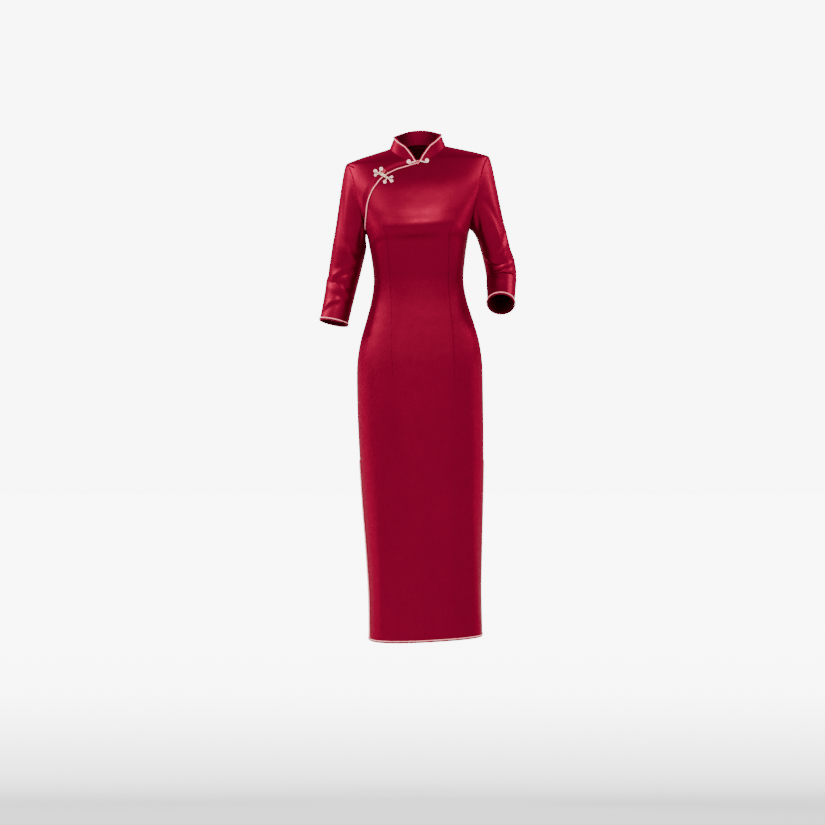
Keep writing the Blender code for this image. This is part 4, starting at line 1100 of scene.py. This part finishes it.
# Neck frog. A scroll of padded satin cord lies on each side of the collar's ends. Between them a
# rose knot holds the loop of the other side, whose end shows below it. They are sewn down by hand.
NECK_KNOT = np.array((0.0005, -0.0332))
SCROLL_CENTRE = (0.0213, 0.0034)
SCROLL_RADIUS = 0.0045
SCROLL_PITCH = 0.0024
SCROLL_CORD = 0.0012
SCROLL_TURNS = 1.7
SCROLL_POINTS = 100
SCROLL_TAIL = np.array(((0.0046, 0.0012), (0.0088, 0.0001), (0.0130, -0.0010), (0.0172, -0.0014)))
TAIL_POINTS = 24
SCROLL_SETTLES = (0.0130, 0.0190)      # distances from the knot over which it comes down to cloth
NECK_FRONT_SEAM = np.array(((0.0, 0.010, 0.020, 0.030), (-0.0262, -0.0258, -0.0246, -0.0220)))
KNOT_GRID = (57, 40)     # points round a knot, and from pole to pole
KNOT_POLE = 0.02
KNOT_WINDING = (1.5, 2.5)      # how often its cord goes round, and how far it leans
KNOT_SWELL = (0.90, 0.13, 0.7)
FROG_WEAVE = ((1.0, 0.9, 0.85, 1.0), 1.4, 0.0007, 260.0, 0.15, 0.00018)


def seat(places):
    """Points on the front from their x and z, with the cloth's unit normal there. Above the neck
    seam they stand straight over it."""
    x, z = np.moveaxis(np.asarray(places, float), -1, 0)
    height = np.minimum(z, np.interp(np.abs(x), *NECK_FRONT_SEAM))
    half_width, side, front_y, _, square = form(height)[:5]
    y = side + (front_y - side) * rest_of(np.abs(x) / half_width, square)
    line = grid_of(x, y, height)
    normal = outward(line)
    rise = pressed(unrolled(line, False), FRONT_FOLDS)[..., None] * normal
    line[..., 2] += z - height
    return posed(line + rise), carried(line, normal)


def coil(centre, radius, pitch, turns, start, count):
    """Flat coil winding in: at share s of it, the centre + radius - pitch * turns * s at start +
    360 turns s degrees."""
    share = np.linspace(0, 1, count)
    angle = np.radians(start + 360 * turns * share)
    reach = radius - pitch * turns * share
    return centre + reach[:, None] * grid_of(np.cos(angle), np.sin(angle))


def sewn_cord(name, node, finish, places, height, radius, closed=False):
    """Round cord laid on the front through x and z places, its middle at a height over the
    cloth."""
    base, normal = seat(places)
    path = base + np.reshape(height, (-1, 1)) * normal
    tangent = ahead_of(path, closed=closed)
    side = unit(np.cross(tangent, normal))
    up = unit(np.cross(side, tangent))
    return band(name, node, finish, path, radius * side, radius * up, ROUND_PROFILE, closed)


def knot(name, node, finish, place, height, radius):
    """Ball knot of wound cord: a ball whose radius swells by |sin| along turns that lean round
    it."""
    base, normal = seat(np.array((place,)))
    turn, tall = np.meshgrid(np.linspace(0, 2 * math.pi, KNOT_GRID[0]),
                             np.linspace(KNOT_POLE, math.pi - KNOT_POLE, KNOT_GRID[1]))
    winds, lean = KNOT_WINDING
    least, more, power = KNOT_SWELL
    swell = least + more * np.abs(np.sin(winds * turn + lean * np.cos(tall))) ** power
    ball = grid_of(np.sin(tall) * np.cos(turn), np.cos(tall), np.sin(tall) * np.sin(turn))
    points = base[0] + (height + radius) * normal[0] + radius * swell[..., None] * ball
    return tube(name, node, finish, points[:, :-1], radius * grid_of(turn, tall))


pale_cord = cord_finish("pale_frog_cord", (0.92, 0.42, 0.40), (0.97, 0.72, 0.66), 0.36, FROG_WEAVE)
rose_cord = cord_finish("rose_knot", (0.50, 0.010, 0.040), (0.72, 0.06, 0.11), 0.34, FROG_WEAVE)

winding = coil(SCROLL_CENTRE, SCROLL_RADIUS, SCROLL_PITCH, SCROLL_TURNS, -90, SCROLL_POINTS)
tail = np.pad(np.concatenate((SCROLL_TAIL, winding[:2])), ((0, 0), (0, 1)))
scroll = np.concatenate((through(tail, TAIL_POINTS)[:-2, :2], winding))
for name, side in (("right", -1), ("left", 1)):
    path = scroll * (side, 1) + NECK_KNOT
    from_knot = np.abs(path[:, 0] - NECK_KNOT[0])
    height = SCROLL_CORD + np.interp(from_knot, SCROLL_SETTLES, (TRIM_HEIGHT, GAP))
    sewn_cord(f"neck_scroll_{name}", f"frog_neck_scroll_{name}", pale_cord,
                                 path, height, SCROLL_CORD)
for name, node, drop, radius in (("neck_ball", "frog_neck_knot", 0.0, 0.0026),
                                 ("neck_loop_end", "frog_neck_loop", -0.0052, 0.0017)):
    knot(name, node, rose_cord, NECK_KNOT + (0, drop), TRIM_HEIGHT, radius)


# Flower frog. Two heads of coiled petals in pale padded cord, each round a gold knot, are joined
# over the opening by two gold cords. A rose loop lies above the bar, and the whole is sewn down by
# hand.
FLOWER_CENTRE = np.array((-0.0810, -0.0588))
FLOWER = {
    # of each head, its middle, and the middle and radius of its petals
    "upper": ((-0.0098, 0.0040), ((-0.0064, 0.0154, 0.0054), (-0.0202, 0.0104, 0.0051),
                                  (-0.0192, 0.0002, 0.0044))),
    "lower": ((0.0079, -0.0080), ((0.0190, -0.0060, 0.0043), (0.0190, -0.0156, 0.0047),
                                  (0.0030, -0.0176, 0.0049))),
}
PETAL_PITCH = 0.0019
PETAL_CORD = 0.00095
PETAL_HEART = 0.0010     # radius at which a petal's coil ends
PETAL_POINTS = 90
STALK_POINTS = 7
CORE_RADIUS = 0.0026
# shares of the way between the heads, and the bar's height there
BAR = np.array(((0.20, 0.0030), (0.36, 0.0051), (0.66, 0.0052), (0.82, 0.0042)))
BAR_POINTS = 40
BAR_CORD = 0.0014
BAR_APART = 0.0017
BUD = (0.0104, 0.0016)
BUD_RADIUS = 0.0016
LOOP = (0.0004, 0.0090)
LOOP_RADIUS = 0.0031
LOOP_CORD = 0.0009
LOOP_POINTS = 48

gold_cord = cord_finish("champagne_cord", (0.66, 0.40, 0.24), (0.90, 0.68, 0.46), 0.34, FROG_WEAVE)
for head, (centre, petals) in FLOWER.items():
    for number, (*petal, radius) in enumerate(petals, 1):
        aim = np.subtract(centre, petal)
        reach = radius - PETAL_CORD
        winding = coil(petal, reach, PETAL_PITCH, (reach - PETAL_HEART) / PETAL_PITCH,
                       math.degrees(math.atan2(*aim[::-1])), PETAL_POINTS)
        stalk = np.linspace(centre - unit(aim) * (CORE_RADIUS + GAP), winding[0], STALK_POINTS)[:-1]
        path = np.concatenate((stalk, winding)) + FLOWER_CENTRE
        sewn_cord(
            f"petal_{head}_{number}", f"frog_flower_petal_{head}_{number}", pale_cord, path,
            GAP + PETAL_CORD, PETAL_CORD)
    knot(f"flower_core_{head}", f"frog_flower_core_{head}", gold_cord,
                              centre + FLOWER_CENTRE, GAP, CORE_RADIUS)
high, low = (np.array(FLOWER[head][0]) for head in ("upper", "lower"))
share = np.linspace(BAR[0, 0], BAR[-1, 0], BAR_POINTS)
lift = smooth(BAR[:, 0], BAR[:, 1], share)
apart = unit(np.array((low[1] - high[1], high[0] - low[0]))) * BAR_APART
for name, side in (("upper", 1), ("lower", -1)):
    path = high + share[:, None] * (low - high) - side * apart + FLOWER_CENTRE
    sewn_cord(f"flower_bar_cord_{name}", f"frog_flower_bar_{name}",
                                   gold_cord, path, lift, BAR_CORD)
knot("flower_bud", "frog_flower_bud", gold_cord, BUD + FLOWER_CENTRE,
                          TRIM_HEIGHT, BUD_RADIUS)
loop = coil(LOOP, LOOP_RADIUS, 0.0, 1 - 1 / LOOP_POINTS, 0, LOOP_POINTS) + FLOWER_CENTRE
sewn_cord("flower_loop_cord", "frog_flower_loop", rose_cord, loop,
                               GAP + LOOP_CORD, LOOP_CORD, closed=True)
